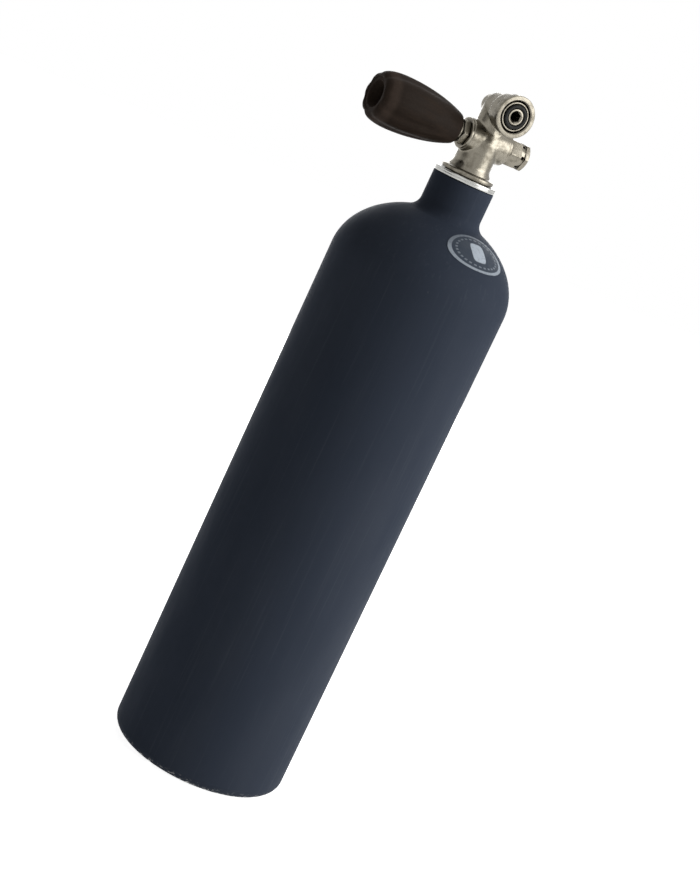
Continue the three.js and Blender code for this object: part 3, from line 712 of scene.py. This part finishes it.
def neck_fillet():
    """The circle that touches the neck and the shoulder: its foot's radius and its points."""
    centre_radius = NECK_RADIUS + NECK_FILLET
    angle = math.pi / 2
    for _ in range(40):  # each step brings the circle's centre nearer to its place
        outward = shoulder_normal(angle)
        foot = Vector((SHELL_RADIUS * math.cos(angle), SHOULDER_START + SHOULDER_RISE * math.sin(angle)))
        angle += (foot.x + NECK_FILLET * outward.x - centre_radius) / SHELL_RADIUS
    centre_height = foot.y + NECK_FILLET * outward.y
    start = math.degrees(math.atan2(-outward.y, -outward.x))
    return foot.x, arc(centre_radius, centre_height, NECK_FILLET, start, -180, 14)


def cylinder_shell():
    foot_radius, fillet = neck_fillet()
    inner = SHELL_RADIUS - WALL
    rim_start = SHELL_RADIUS - BASE_CORNER - BASE_RIM
    outline = [Vector((0, BASE_DISH)), Vector((rim_start - 2, BASE_DISH)), Vector((rim_start, 0))]
    outline += arc(SHELL_RADIUS - BASE_CORNER, BASE_CORNER, BASE_CORNER, -90, 0, 14)
    outline += [Vector((SHELL_RADIUS, SHOULDER_START * k / 12)) for k in range(1, 12)]
    outline += shoulder(SHELL_RADIUS, SHOULDER_RISE, foot_radius, 40)[:-1]
    outline += fillet
    outline += rounded([
        (NECK_RADIUS, SHELL_HEIGHT - 6), (NECK_RADIUS, SHELL_HEIGHT, NECK_EDGE),
        (SEAL_POCKET_RADIUS, SHELL_HEIGHT),
    ])[1:]
    pocket_floor = SHELL_HEIGHT - SEAL_POCKET_DEPTH
    outline += [Vector((SEAL_POCKET_RADIUS, pocket_floor)), Vector((NECK_BORE_RADIUS, pocket_floor))]
    outline += shoulder(inner, INNER_SHOULDER_RISE, NECK_BORE_RADIUS, 12)[::-1]
    outline += arc(inner - INNER_CORNER, BASE_THICKNESS + INNER_CORNER, INNER_CORNER, 0, -90, 8)
    outline += [Vector((0, BASE_THICKNESS))]
    shell = turned("shell", outline, STANDING, FINE_STEPS)
    finished(shell, NAVY_COAT, "navy_coat", "pack", "cylinder_shell")


def shoulder_label():
    """An oval film pressed onto the shoulder: the points of a flat oval dropped along its centre's normal."""
    steps = 72  # facets around the label
    rings = 12  # and from its centre to its edge
    centre_angle = math.acos(LABEL_CENTRE_RADIUS / SHELL_RADIUS)
    outward = shoulder_normal(centre_angle)
    centre = Vector((0, -LABEL_CENTRE_RADIUS, SHOULDER_RISE * math.sin(centre_angle)))
    normal = Vector((0, -outward.x, outward.y))
    across = Vector((1, 0, 0))
    up = normal.cross(across)

    def on_shoulder(point):
        """Where the line along the normal through a point meets the shoulder, and the way out there."""
        size = Vector((1 / SHELL_RADIUS, 1 / SHELL_RADIUS, 1 / SHOULDER_RISE))
        start, along = point * size, normal * size
        a, b, c = along.dot(along), start.dot(along), start.dot(start) - 1
        hit = point + normal * ((-b + math.sqrt(b * b - a * c)) / a)
        return hit, (hit * size * size).normalized()

    bm = bmesh.new()
    face_map = bm.loops.layers.uv.new("face")
    sheets, flat = [], {}
    for rise in (LABEL_LIFT, LABEL_LIFT + LABEL_THICKNESS):
        sheet = []
        for ring in range(rings + 1):
            eased = rise > LABEL_LIFT and ring == rings
            ease = LABEL_THICKNESS * 0.5 if eased else 0
            row = []
            for step in range(1 if ring == 0 else steps):
                angle = 2 * math.pi * step / steps
                x = ring / rings * math.cos(angle)
                y = ring / rings * math.sin(angle)
                sideways = across * x * (LABEL_HALF_WIDTH - ease)
                upward = up * y * (LABEL_HALF_HEIGHT - ease)
                hit, way = on_shoulder(centre + (sideways + upward))
                vert = bm.verts.new(hit + way * rise + Vector((0, 0, SHOULDER_START)))
                flat[vert] = (x, y)
                row.append(vert)
            sheet.append(row)
        sheets.append(sheet)
    for sheet in sheets:
        for inner, outer in zip(sheet, sheet[1:]):
            for step in range(steps):
                after = (step + 1) % steps
                corners = [inner[step % len(inner)], outer[step], outer[after], inner[after % len(inner)]]
                bm.faces.new(list(dict.fromkeys(corners)))
    for step in range(steps):
        after = (step + 1) % steps
        low, high = sheets[0][-1], sheets[1][-1]
        bm.faces.new([low[step], low[after], high[after], high[step]])
    for face in bm.faces:
        for loop in face.loops:
            loop[face_map].uv = flat[loop.vert]
    place = Matrix.Rotation(LABEL_TURN, 4, "Z") @ STANDING
    finished(made("label", bm, place), LABEL_FILM, "label_film", "pack", "shoulder_label")


# --- Valve ---


def forging():
    """The post, the cross body and the head, blended into one another."""
    core = turned("forging", rounded([
        (0, FOOT_START + 2), (FOOT_RADIUS - 2.5, FOOT_START + 2),
        (POST_RADIUS + 0.2, FOOT_START + FOOT_HEIGHT + FOOT_CONE), (POST_RADIUS, CROSS_HEIGHT),
        (UPPER_POST_RADIUS, CROSS_HEIGHT + 7), (UPPER_POST_RADIUS, HEAD_HEIGHT), (0, HEAD_HEIGHT),
    ]), UPRIGHT)
    drum_end = SOCKET_FLOOR - HEAD_WALL
    head_start = 0.8 - HEAD_BACK
    head_end = HEAD_FRONT - 3
    waist_start = BOSS_LENGTH + 1.5 - HEAD_BACK
    barrels = [
        turned("left", bar(CROSS_LEFT_RADIUS, 0, CROSS_LEFT - FORGED_SHORT), SPINDLE_LINE),
        turned("right", bar(CROSS_RIGHT_RADIUS, 0, CROSS_RIGHT - FORGED_SHORT), BURST_LINE),
        turned("head", rounded([
            (0, head_start), (BOSS_RADIUS - 0.3, head_start), (BOSS_RADIUS, BOSS_LENGTH - HEAD_BACK),
            (HEAD_WAIST_RADIUS, waist_start), (HEAD_WAIST_RADIUS, drum_end - 1.5),
            (HEAD_DRUM_RADIUS, drum_end), (HEAD_DRUM_RADIUS, head_end), (0, head_end),
        ]), OUTLET_LINE),
    ]
    boolean(core, "UNION", barrels)
    remesh = core.modifiers.new("remesh", "REMESH")
    remesh.mode = "VOXEL"
    remesh.voxel_size = VOXEL * MM
    soften = core.modifiers.new("soften", "SMOOTH")
    soften.factor = 0.5
    soften.iterations = BLEND_PASSES
    return apply_modifiers(core)


def turned_ends():
    """The machined foot, stem, outlet lip, barrel ends and boss."""
    foot_top = FOOT_START + FOOT_HEIGHT
    lip_start = HEAD_FRONT - HEAD_LIP
    bore_fit = NECK_BORE_RADIUS - GAP
    backwards = OUTLET_LINE @ Matrix.Rotation(math.pi, 4, "X")
    return [
        turned("foot", rounded([
            (0, GAP), (SPIGOT_RADIUS, GAP), (SPIGOT_RADIUS, FOOT_START), (FOOT_RADIUS, FOOT_START, 0.5),
            (FOOT_RADIUS, foot_top, 0.9), (FOOT_RADIUS - 4.2, foot_top + 1.2, 0.8),
            (POST_RADIUS - 1, foot_top + 6), (0, foot_top + 6),
        ]), UPRIGHT),
        turned("stem", rounded([
            (0, -STEM_LENGTH), (bore_fit, -STEM_LENGTH, 0.8),
            (bore_fit, GAP + OVERSHOOT), (0, GAP + OVERSHOOT),
        ]), UPRIGHT),
        turned("lip", rounded([
            (0, lip_start - 1), (HEAD_DRUM_RADIUS + 0.2, lip_start - 1, 0.3),
            (HEAD_LIP_RADIUS, lip_start, 0.5), (HEAD_LIP_RADIUS, HEAD_FRONT, 0.8), (0, HEAD_FRONT),
        ], 5), OUTLET_LINE),
        turned("left_end", bar(CROSS_LEFT_RADIUS - 0.5, 3, CROSS_LEFT, 0.7), SPINDLE_LINE),
        turned("right_end", bar(CROSS_RIGHT_RADIUS - 0.4, 3, CROSS_RIGHT, 0.7), BURST_LINE),
        turned("boss", bar(BOSS_RADIUS - 0.4, -4, HEAD_BACK, 0.7), backwards),
    ]


def passages():
    """Everything that is cut from the body: the outlet's socket, the yoke's dimple and the bores."""
    flare_radius = SOCKET_RADIUS + 0.9
    side_line = UPRIGHT @ Matrix.Translation((SIDE_PASSAGE_OFFSET, 0, 0))
    riser_line = UPRIGHT @ Matrix.Translation((-RISER_OFFSET, 0, 0))
    bonnet_hole_radius = BONNET_THREAD_RADIUS + GAP
    burst_port_radius = BURST_THREAD_RADIUS + GAP
    return [
        turned("socket", rounded([
            (0, SOCKET_FLOOR), (SOCKET_RADIUS, SOCKET_FLOOR), (SOCKET_RADIUS, HEAD_FRONT - 0.7),
            (flare_radius, HEAD_FRONT + 0.2), (flare_radius, HEAD_FRONT + 2), (0, HEAD_FRONT + 2),
        ]), OUTLET_LINE),
        turned("air", bar(OUTLET_BORE_RADIUS, -2, SOCKET_FLOOR + OVERSHOOT), OUTLET_LINE, 48),
        turned("dimple", rounded([
            (0, DIMPLE_DEPTH + 1.2 - HEAD_BACK), (1.2, DIMPLE_DEPTH + 0.9 - HEAD_BACK, 0.8),
            (DIMPLE_RADIUS, 0.3 - HEAD_BACK, 0.5), (DIMPLE_RADIUS + 0.6, -1 - HEAD_BACK), (0, -1 - HEAD_BACK),
        ]), OUTLET_LINE, 48),
        turned("chamber", bar(CHAMBER_RADIUS, CHAMBER_START, CHAMBER_END + OVERSHOOT), SPINDLE_LINE, 64),
        turned("bonnet_hole", bar(bonnet_hole_radius, CHAMBER_END, CROSS_LEFT + OVERSHOOT), SPINDLE_LINE, 64),
        turned("seat_hole", bar(ORIFICE_RADIUS, -6, 0), SPINDLE_LINE, 32),
        turned("pressure_bore", bar(PRESSURE_BORE_RADIUS, 5, BURST_FLOOR + 2), BURST_LINE, 48),
        turned("burst_port", bar(burst_port_radius, BURST_FLOOR, CROSS_RIGHT + OVERSHOOT), BURST_LINE, 64),
        turned("inlet", bar(INLET_RADIUS, -STEM_LENGTH - OVERSHOOT, INLET_TOP), UPRIGHT, 48),
        turned("side_passage", bar(SIDE_PASSAGE_RADIUS, INLET_TOP - 4, CROSS_HEIGHT), side_line, 32),
        turned("riser", bar(RISER_RADIUS, CROSS_HEIGHT, HEAD_HEIGHT), riser_line, 32),
    ]


def valve_body():
    """A forged body with turned ends joined on and its passages cut."""
    core = forging()
    boolean(core, "UNION", turned_ends())
    boolean(core, "DIFFERENCE", passages())
    core.name = "valve"
    finished(core, CHROME_PLATE, "chrome_plate", "pack", "valve_body")


def neck_ring():
    """A plain ring with a shallow groove round its side."""
    inner = SPIGOT_RADIUS + GAP
    top = GAP + RING_HEIGHT
    ring = rounded([
        (inner, GAP, 0.3), (RING_RADIUS, GAP, 0.6), (RING_RADIUS, GAP + RING_HEIGHT * 0.42, 0.25),
        (RING_RADIUS - 0.45, GAP + RING_HEIGHT * 0.5, 0.25),
        (RING_RADIUS, GAP + RING_HEIGHT * 0.58, 0.25), (RING_RADIUS, top, 0.9), (inner, top, 0.3),
    ])
    finished(turned("ring", ring, UPRIGHT), BRIGHT_RING, "bright_metal", "pack", "neck_ring")


def bonnet():
    """The hexagon with its threaded shank and round nose, bored for the spindle and its seal."""
    hex_end = BONNET_FACE + BONNET_HEX_LENGTH
    shank = bar(BONNET_THREAD_RADIUS, BONNET_START, BONNET_FACE + OVERSHOOT, 0.3)
    nose = bar(BONNET_NOSE_RADIUS, hex_end - 0.7, BONNET_END, 0.6)
    collar_room = bar(COLLAR_RADIUS + RUN, BONNET_START - OVERSHOOT, BONNET_SHOULDER)
    bore = bar(SPINDLE_RADIUS + RUN, BONNET_START, BONNET_END + OVERSHOOT)
    groove = bar(
        STEM_SEAL_RADIUS + STEM_SEAL_ROOM, STEM_SEAL_PLACE - STEM_SEAL_ROOM, STEM_SEAL_PLACE + STEM_SEAL_ROOM,
    )
    nut = hex_head("bonnet", BONNET_HEX, BONNET_FACE, hex_end, SPINDLE_LINE)
    boolean(nut, "UNION", [turned("shank", shank, SPINDLE_LINE), turned("nose", nose, SPINDLE_LINE)])
    boolean(nut, "DIFFERENCE", [
        turned("collar_room", collar_room, SPINDLE_LINE, 64),
        turned("bore", bore, SPINDLE_LINE, 64),
        turned("groove", groove, SPINDLE_LINE, 64),
    ])
    finished(nut, CHROME_PLATE, "chrome_plate", "pack", "bonnet_nut")


def burst_plug():
    """A hexagon with a waist, six vent mouths in the waist and a dished face."""
    start = CROSS_RIGHT + GAP
    end = start + BURST_HEX_LENGTH
    plug = hex_head("plug", BURST_HEX, start, end, BURST_LINE)
    waist_start, waist_end = end - BURST_WAIST[0], end - BURST_WAIST[1]
    outside = 11.5  # past the hexagon's corners
    waist = rounded([
        (BURST_WAIST_RADIUS, waist_start, 0.3), (outside, waist_start),
        (outside, waist_end), (BURST_WAIST_RADIUS, waist_end, 0.3),
    ])
    boolean(plug, "DIFFERENCE", [turned("waist", waist, BURST_LINE)])
    shank = bar(BURST_THREAD_RADIUS, BURST_SHANK_START, start + 0.7, 0.4)
    boolean(plug, "UNION", [turned("shank", shank, BURST_LINE)])
    vents = []
    for k in range(3):
        turn = Matrix.Rotation(k * math.pi / 3, 4, "Z") @ Matrix.Rotation(math.pi / 2, 4, "X")
        place = BURST_LINE @ Matrix.Translation((0, 0, end - 5)) @ turn
        vents.append(turned("vent", bar(BURST_VENT_RADIUS, -12, 12), place, 32))
    bore = turned("bore", bar(BURST_BORE_RADIUS, BURST_SHANK_START - OVERSHOOT, waist_end), BURST_LINE, 48)
    dish_floor = end - 0.5
    dish = turned("dish", rounded([
        (0, dish_floor), (5.4, dish_floor, 0.4), (6.2, end + 1), (0, end + 1),
    ]), BURST_LINE, 64)
    boolean(plug, "DIFFERENCE", [bore, dish, *vents])
    finished(plug, CHROME_PLATE, "chrome_plate", "pack", "burst_plug")


def outlet_insert():
    """The screwed ring in the outlet: a seal groove in its face, a key socket and a groove behind."""
    back = HEAD_FRONT - INSERT_LENGTH
    face = HEAD_FRONT - INSERT_FACE_INSET
    seal_room = FACE_SEAL_TUBE + GAP
    seal_floor = FACE_SEAL_PLACE - seal_room
    groove_outer = FACE_SEAL_RADIUS + seal_room
    groove_inner = FACE_SEAL_RADIUS - seal_room
    insert = turned("insert", rounded([
        (0, back), (INSERT_RADIUS, back, 0.6), (INSERT_RADIUS, HEAD_FRONT - 2.2), (10.0, face, 0.4),
        (9.2, face, 0.2), (groove_outer, seal_floor, 0.2),
        (groove_inner, seal_floor, 0.2), (groove_inner, HEAD_FRONT, 0.35), (0, HEAD_FRONT),
    ]), OUTLET_LINE)
    rear_outer = REAR_SEAL_RADIUS + REAR_SEAL_TUBE + GAP
    rear_inner = REAR_SEAL_RADIUS - REAR_SEAL_TUBE - GAP
    rear_floor = back + 2.2
    rear = rounded([
        (rear_inner, back - OVERSHOOT), (rear_outer, back - OVERSHOOT),
        (rear_outer, rear_floor, 0.2), (rear_inner, rear_floor, 0.2),
    ])
    lead = rounded([
        (0, HEAD_FRONT - 1.0), (3.5, HEAD_FRONT - 1.0), (4.9, HEAD_FRONT + 0.4), (0, HEAD_FRONT + 0.4),
    ])
    boolean(insert, "DIFFERENCE", [
        turned("rear_groove", rear, OUTLET_LINE),
        prism("key", 6, INSERT_HEX, back - OVERSHOOT, HEAD_FRONT + OVERSHOOT, OUTLET_LINE),
        turned("lead", lead, OUTLET_LINE, 64),
    ])
    finished(insert, CHROME_PLATE, "chrome_plate", "insert", "outlet_insert")


def face_seal():
    ring = arc(FACE_SEAL_RADIUS, FACE_SEAL_PLACE, FACE_SEAL_TUBE, 0, 337.5, 15)
    finished(turned("face_seal", ring, OUTLET_LINE), SEAL_RUBBER, "seal_rubber", "insert", "outlet_o_ring")


# --- Grip ---


def bezier(points, count):
    """Points along one cubic curve."""
    result = []
    for k in range(count + 1):
        t = k / count
        weights = ((1 - t) ** 3, 3 * t * (1 - t) ** 2, 3 * t * t * (1 - t), t ** 3)
        result.append(sum((Vector(p) * w for p, w in zip(points, weights)), Vector((0, 0))))
    return result


def grip_sleeve():
    """The grip's swelling outline with soft flutes, a rounded far end and a recess in that end."""
    end = GRIP_START + GRIP_LENGTH
    widest = GRIP_START + GRIP_WIDEST * GRIP_LENGTH
    near = GRIP_START + 1.5
    flutes_from = GRIP_START + FLUTE_START
    hub_fit = HUB_RADIUS + GAP
    flange_fit = HUB_FLANGE_RADIUS + GAP
    flange_start = HUB_START + HUB_FLANGE[0] - GAP
    flange_end = HUB_START + HUB_FLANGE[1] + GAP
    hub_end = HUB_START + HUB_LENGTH + GAP
    swell = bezier([
        (GRIP_NEAR_RADIUS, near), (GRIP_NEAR_RADIUS + 3.6, GRIP_START + 11),
        (GRIP_RADIUS, GRIP_START + 0.42 * GRIP_LENGTH), (GRIP_RADIUS, widest),
    ], 48)
    close = bezier([
        (GRIP_RADIUS, widest), (GRIP_RADIUS, widest + 9), (GRIP_RADIUS - 1.6, end), (GRIP_RIM_RADIUS, end),
    ], 28)
    outline = rounded([
        (hub_fit, GRIP_START), (GRIP_NEAR_RADIUS - 0.6, GRIP_START, 0.3), (GRIP_NEAR_RADIUS, near),
    ])[:-1]
    outline += swell + close[1:]
    outline += rounded([
        (GRIP_RIM_RADIUS, end), (GRIP_RIM_RADIUS - 1.2, end, 0.3), (GRIP_RIM_RADIUS - 1.6, end - 0.8, 0.3),
        (GRIP_MOUTH_RADIUS + 1.3, end - 0.8, 0.8), (GRIP_MOUTH_RADIUS, end - 4),
        (GRIP_MOUTH_RADIUS, hub_end + 0.2),
    ])[1:]
    outline += [Vector(p) for p in (
        (GRIP_MOUTH_RADIUS, hub_end), (hub_fit, hub_end), (hub_fit, flange_end),
        (flange_fit, flange_end), (flange_fit, flange_start), (hub_fit, flange_start),
    )]

    def fluted(point, angle):
        """The radius at an angle: less in a flute, and unchanged near the bonnet and inside the grip."""
        recess = point[0] < GRIP_RIM_RADIUS - 0.01 and point[1] > flutes_from
        if recess or point[0] < GRIP_NEAR_RADIUS:
            return point[0]
        run = min(1.0, max(0.0, (point[1] - flutes_from) / FLUTE_RUN_IN))
        run *= run * (3 - 2 * run)
        wave = (1 - math.cos(FLUTES * angle)) / 2
        return point[0] - FLUTE_DEPTH * run * wave ** 1.6

    sleeve = turned("grip", outline, SPINDLE_LINE, 24 * FLUTES, fluted)
    finished(sleeve, GRIP_RUBBER, "grip_rubber", "handwheel", "grip_sleeve")


def grip_hub():
    """The hub with its flange, the square that takes the spindle and the pocket for the spring."""
    end = HUB_START + HUB_LENGTH
    flange_start = HUB_START + HUB_FLANGE[0]
    flange_end = HUB_START + HUB_FLANGE[1]
    hub = turned("hub", rounded([
        (0, HUB_START), (HUB_RADIUS, HUB_START, 0.5), (HUB_RADIUS, flange_start),
        (HUB_FLANGE_RADIUS, flange_start, 0.3), (HUB_FLANGE_RADIUS, flange_end, 0.3),
        (HUB_RADIUS, flange_end), (HUB_RADIUS, end, 0.4), (0, end),
    ]), SPINDLE_LINE)
    square_end = HUB_POCKET_START + OVERSHOOT
    boolean(hub, "DIFFERENCE", [
        prism("square", 4, SPINDLE_SQUARE + 2 * GAP, HUB_START - OVERSHOOT, square_end, SPINDLE_LINE),
        turned("pocket", bar(HUB_POCKET_RADIUS, HUB_POCKET_START, end + OVERSHOOT), SPINDLE_LINE, 64),
    ])
    finished(hub, BLACK_NYLON, "black_plastic", "handwheel", "grip_hub")


def spindle():
    """Collar, tang, stem, square and a cut thread that stands out of the nut."""
    collar_end = COLLAR_START + COLLAR_THICKNESS
    stem_end = BONNET_END + 0.4
    square_end = HUB_POCKET_START - GAP
    tip = NUT_START + NUT_LENGTH + 1.0
    stem = turned("spindle", rounded([
        (0, COLLAR_START), (COLLAR_RADIUS, COLLAR_START, 0.2), (COLLAR_RADIUS, collar_end, 0.2),
        (SPINDLE_RADIUS, collar_end), (SPINDLE_RADIUS, stem_end, 0.3), (0, stem_end),
    ]), SPINDLE_LINE, 64)
    tang = bmesh.new()
    bmesh.ops.create_cube(tang, size=1)
    tang_end = COLLAR_START + 0.5
    middle = Matrix.Translation((0, 0, (TANG_START + tang_end) / 2))
    tang.transform(middle @ Matrix.Diagonal((TANG_WIDTH, TANG_THICKNESS, tang_end - TANG_START, 1)))
    screw_start = square_end - 0.7
    screw = [Vector((0, screw_start)), Vector((2.0, screw_start))]
    screw += thread(SPINDLE_THREAD_RADIUS, pitch=0.8, depth=0.42, start=square_end, end=tip - 0.4)
    screw += [Vector((1.9, tip)), Vector((0, tip))]
    square = bevel(prism("square", 4, SPINDLE_SQUARE, stem_end - 0.5, square_end, SPINDLE_LINE), 0.3)
    boolean(stem, "UNION", [
        bevel(made("tang", tang, SPINDLE_LINE), 0.2),
        square,
        turned("screw", screw, SPINDLE_LINE, 48),
    ])
    finished(stem, PLAIN_BRASS, "plain_brass", "handwheel", "spindle")


def grip_nut():
    end = NUT_START + NUT_LENGTH
    hole = bar(SPINDLE_THREAD_RADIUS + GAP, NUT_START - OVERSHOOT, end + OVERSHOOT)
    nut = hex_head("nut", NUT_HEX, NUT_START, end, SPINDLE_LINE, 0.06)
    boolean(nut, "DIFFERENCE", [turned("hole", hole, SPINDLE_LINE, 48)])
    finished(nut, BRIGHT_STEEL, "bright_metal", "handwheel", "grip_nut")


def grip_washer():
    hole = SPINDLE_THREAD_RADIUS + GAP
    end = WASHER_START + WASHER_THICKNESS
    ring = rounded([
        (hole, WASHER_START, 0.15), (WASHER_RADIUS, WASHER_START, 0.25),
        (WASHER_RADIUS, end, 0.25), (hole, end, 0.15),
    ])
    finished(turned("washer", ring, SPINDLE_LINE), BRIGHT_STEEL, "bright_metal", "handwheel", "grip_washer")


def grip_spring():
    coil = helix_tube(
        "spring", SPRING_RADIUS, SPRING_WIRE, SPRING_START, SPRING_LENGTH, SPRING_TURNS, SPINDLE_LINE,
    )
    finished(coil, BRIGHT_STEEL, "bright_metal", "handwheel", "grip_spring")


# --- Inner pieces that stay as the CAD made them ---


def inner_pieces():
    finishes = {
        "neck_o_ring": SEAL_RUBBER, "stem_o_ring": SEAL_RUBBER, "insert_rear_o_ring": SEAL_RUBBER,
        "dip_tube": PLAIN_BRASS, "seat_plug": PLAIN_BRASS, "seat_disc": WHITE_PLASTIC,
        "thrust_washer": WHITE_PLASTIC, "burst_gasket": WHITE_PLASTIC, "burst_disc": COPPER_FOIL,
    }
    for node, material in finishes.items():
        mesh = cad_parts[node].data
        mesh.materials.clear()
        mesh.materials.append(material)


cylinder_shell()
shoulder_label()
neck_ring()
valve_body()
bonnet()
burst_plug()
outlet_insert()
face_seal()
grip_sleeve()
grip_hub()
spindle()
grip_nut()
grip_washer()
grip_spring()
inner_pieces()

# --- Stage ---


FLOOR_TONE = (0.80, 0.80, 0.80)
FLOOR_GLOW = 0.90
ROOM_FILL = 0.13  # the room's light on surfaces
ROOM_SEEN = 1.0  # and as the camera and reflections see it


def higher_of(nodes, links, a, b):
    node = nodes.new("ShaderNodeMath")
    node.operation = "MAXIMUM"
    links.new(a, node.inputs[0])
    links.new(b, node.inputs[1])
    return node.outputs[0]


def floor_material():
    """Pale and matt. The camera and reflections see it lifted to white, but it keeps the shadow."""
    surface = bpy.data.materials.new("floor")
    surface.use_nodes = True
    nodes, links = surface.node_tree.nodes, surface.node_tree.links
    nodes.clear()
    path = nodes.new("ShaderNodeLightPath")
    matt = nodes.new("ShaderNodeBsdfDiffuse")
    matt.inputs["Color"].default_value = (*FLOOR_TONE, 1)
    lift = nodes.new("ShaderNodeEmission")
    strength = nodes.new("ShaderNodeMath")
    strength.operation = "MULTIPLY"
    strength.inputs[1].default_value = FLOOR_GLOW
    seen = higher_of(nodes, links, path.outputs["Is Camera Ray"], path.outputs["Is Glossy Ray"])
    links.new(seen, strength.inputs[0])
    links.new(strength.outputs[0], lift.inputs["Strength"])
    both = nodes.new("ShaderNodeAddShader")
    links.new(matt.outputs[0], both.inputs[0])
    links.new(lift.outputs[0], both.inputs[1])
    out = nodes.new("ShaderNodeOutputMaterial")
    links.new(both.outputs[0], out.inputs["Surface"])
    return surface


def floor():
    """A wide plane a gap below the base."""
    bm = bmesh.new()
    bmesh.ops.create_grid(bm, x_segments=1, y_segments=1, size=4 / MM)
    plane = made("floor", bm, Matrix.Translation((0, 0, -GAP * MM)) @ Matrix.Scale(MM, 4))
    plane.data.materials.append(floor_material())


def softbox(name, place, aim, size, power):
    """A soft rectangular lamp, with lengths in metres and its power in watts."""
    light = bpy.data.lights.new(name, "AREA")
    light.shape = "RECTANGLE"
    light.size, light.size_y = size
    light.energy = power
    lamp = bpy.data.objects.new(name, light)
    lamp.location = place
    lamp.rotation_euler = (Vector(aim) - Vector(place)).to_track_quat("-Z", "Y").to_euler()
    bpy.context.scene.collection.objects.link(lamp)


def surroundings():
    """A room that the camera and reflections see as white, and that fills softly."""
    world = bpy.data.worlds.new("room")
    bpy.context.scene.world = world
    world.use_nodes = True
    nodes, links = world.node_tree.nodes, world.node_tree.links
    background = nodes["Background"]
    background.inputs["Color"].default_value = (1, 1, 1, 1)
    path = nodes.new("ShaderNodeLightPath")
    seen = higher_of(nodes, links, path.outputs["Is Camera Ray"], path.outputs["Is Glossy Ray"])
    seen = higher_of(nodes, links, seen, path.outputs["Is Transmission Ray"])
    level = nodes.new("ShaderNodeMix")
    level.inputs[2].default_value = ROOM_FILL
    level.inputs[3].default_value = ROOM_SEEN
    links.new(seen, level.inputs[0])
    links.new(level.outputs[0], background.inputs["Strength"])


CAMERA_AZIMUTH = math.radians(-30)
CAMERA_DISTANCE = 1.361  # metres from the cylinder's axis, level
CAMERA_HEIGHT = 0.5536  # metres above the floor
CAMERA_TURN = math.radians(0.17)  # to the right of the axis
CAMERA_TILT = math.radians(-11.88)
CAMERA_ROLL = math.radians(25.18)
CAMERA_LENS = 79.62  # millimetres, on a sensor 36 mm wide


def camera():
    """Stands off at the azimuth, then turns, tilts and rolls to the view."""
    toward = CAMERA_AZIMUTH + math.pi / 2
    place = Vector((-math.cos(toward), -math.sin(toward), 0)) * CAMERA_DISTANCE
    heading = toward - CAMERA_TURN
    level = math.cos(CAMERA_TILT)
    forward = Vector((math.cos(heading) * level, math.sin(heading) * level, math.sin(CAMERA_TILT)))
    right = forward.cross(Vector((0, 0, 1))).normalized()
    up = right.cross(forward)
    rolled_right = right * math.cos(CAMERA_ROLL) + up * math.sin(CAMERA_ROLL)
    rolled_up = up * math.cos(CAMERA_ROLL) - right * math.sin(CAMERA_ROLL)
    data = bpy.data.cameras.new("camera")
    data.lens = CAMERA_LENS
    data.sensor_width = 36
    data.clip_start, data.clip_end = 0.01, 100
    obj = bpy.data.objects.new("camera", data)
    turn = Matrix((rolled_right, rolled_up, -forward)).transposed().to_4x4()
    obj.matrix_world = Matrix.Translation(place + Vector((0, 0, CAMERA_HEIGHT))) @ turn
    bpy.context.scene.collection.objects.link(obj)
    bpy.context.scene.camera = obj


floor()
surroundings()
camera()
softbox("key", place=(1.30, -1.27, 1.15), aim=(0, 0, 0.28), size=(1.6, 1.7), power=42)
softbox("fill", place=(-1.2, -1.3, 0.9), aim=(0, 0, 0.3), size=(1.0, 1.3), power=1.0)
softbox("back", place=(0.75, 1.60, 0.60), aim=(0, 0, 0.28), size=(1.4, 1.1), power=19)
softbox("top", place=(0.3, 0.1, 1.9), aim=(0, 0, 0.4), size=(1.0, 1.0), power=3)
bpy.context.scene.view_settings.view_transform = "Standard"
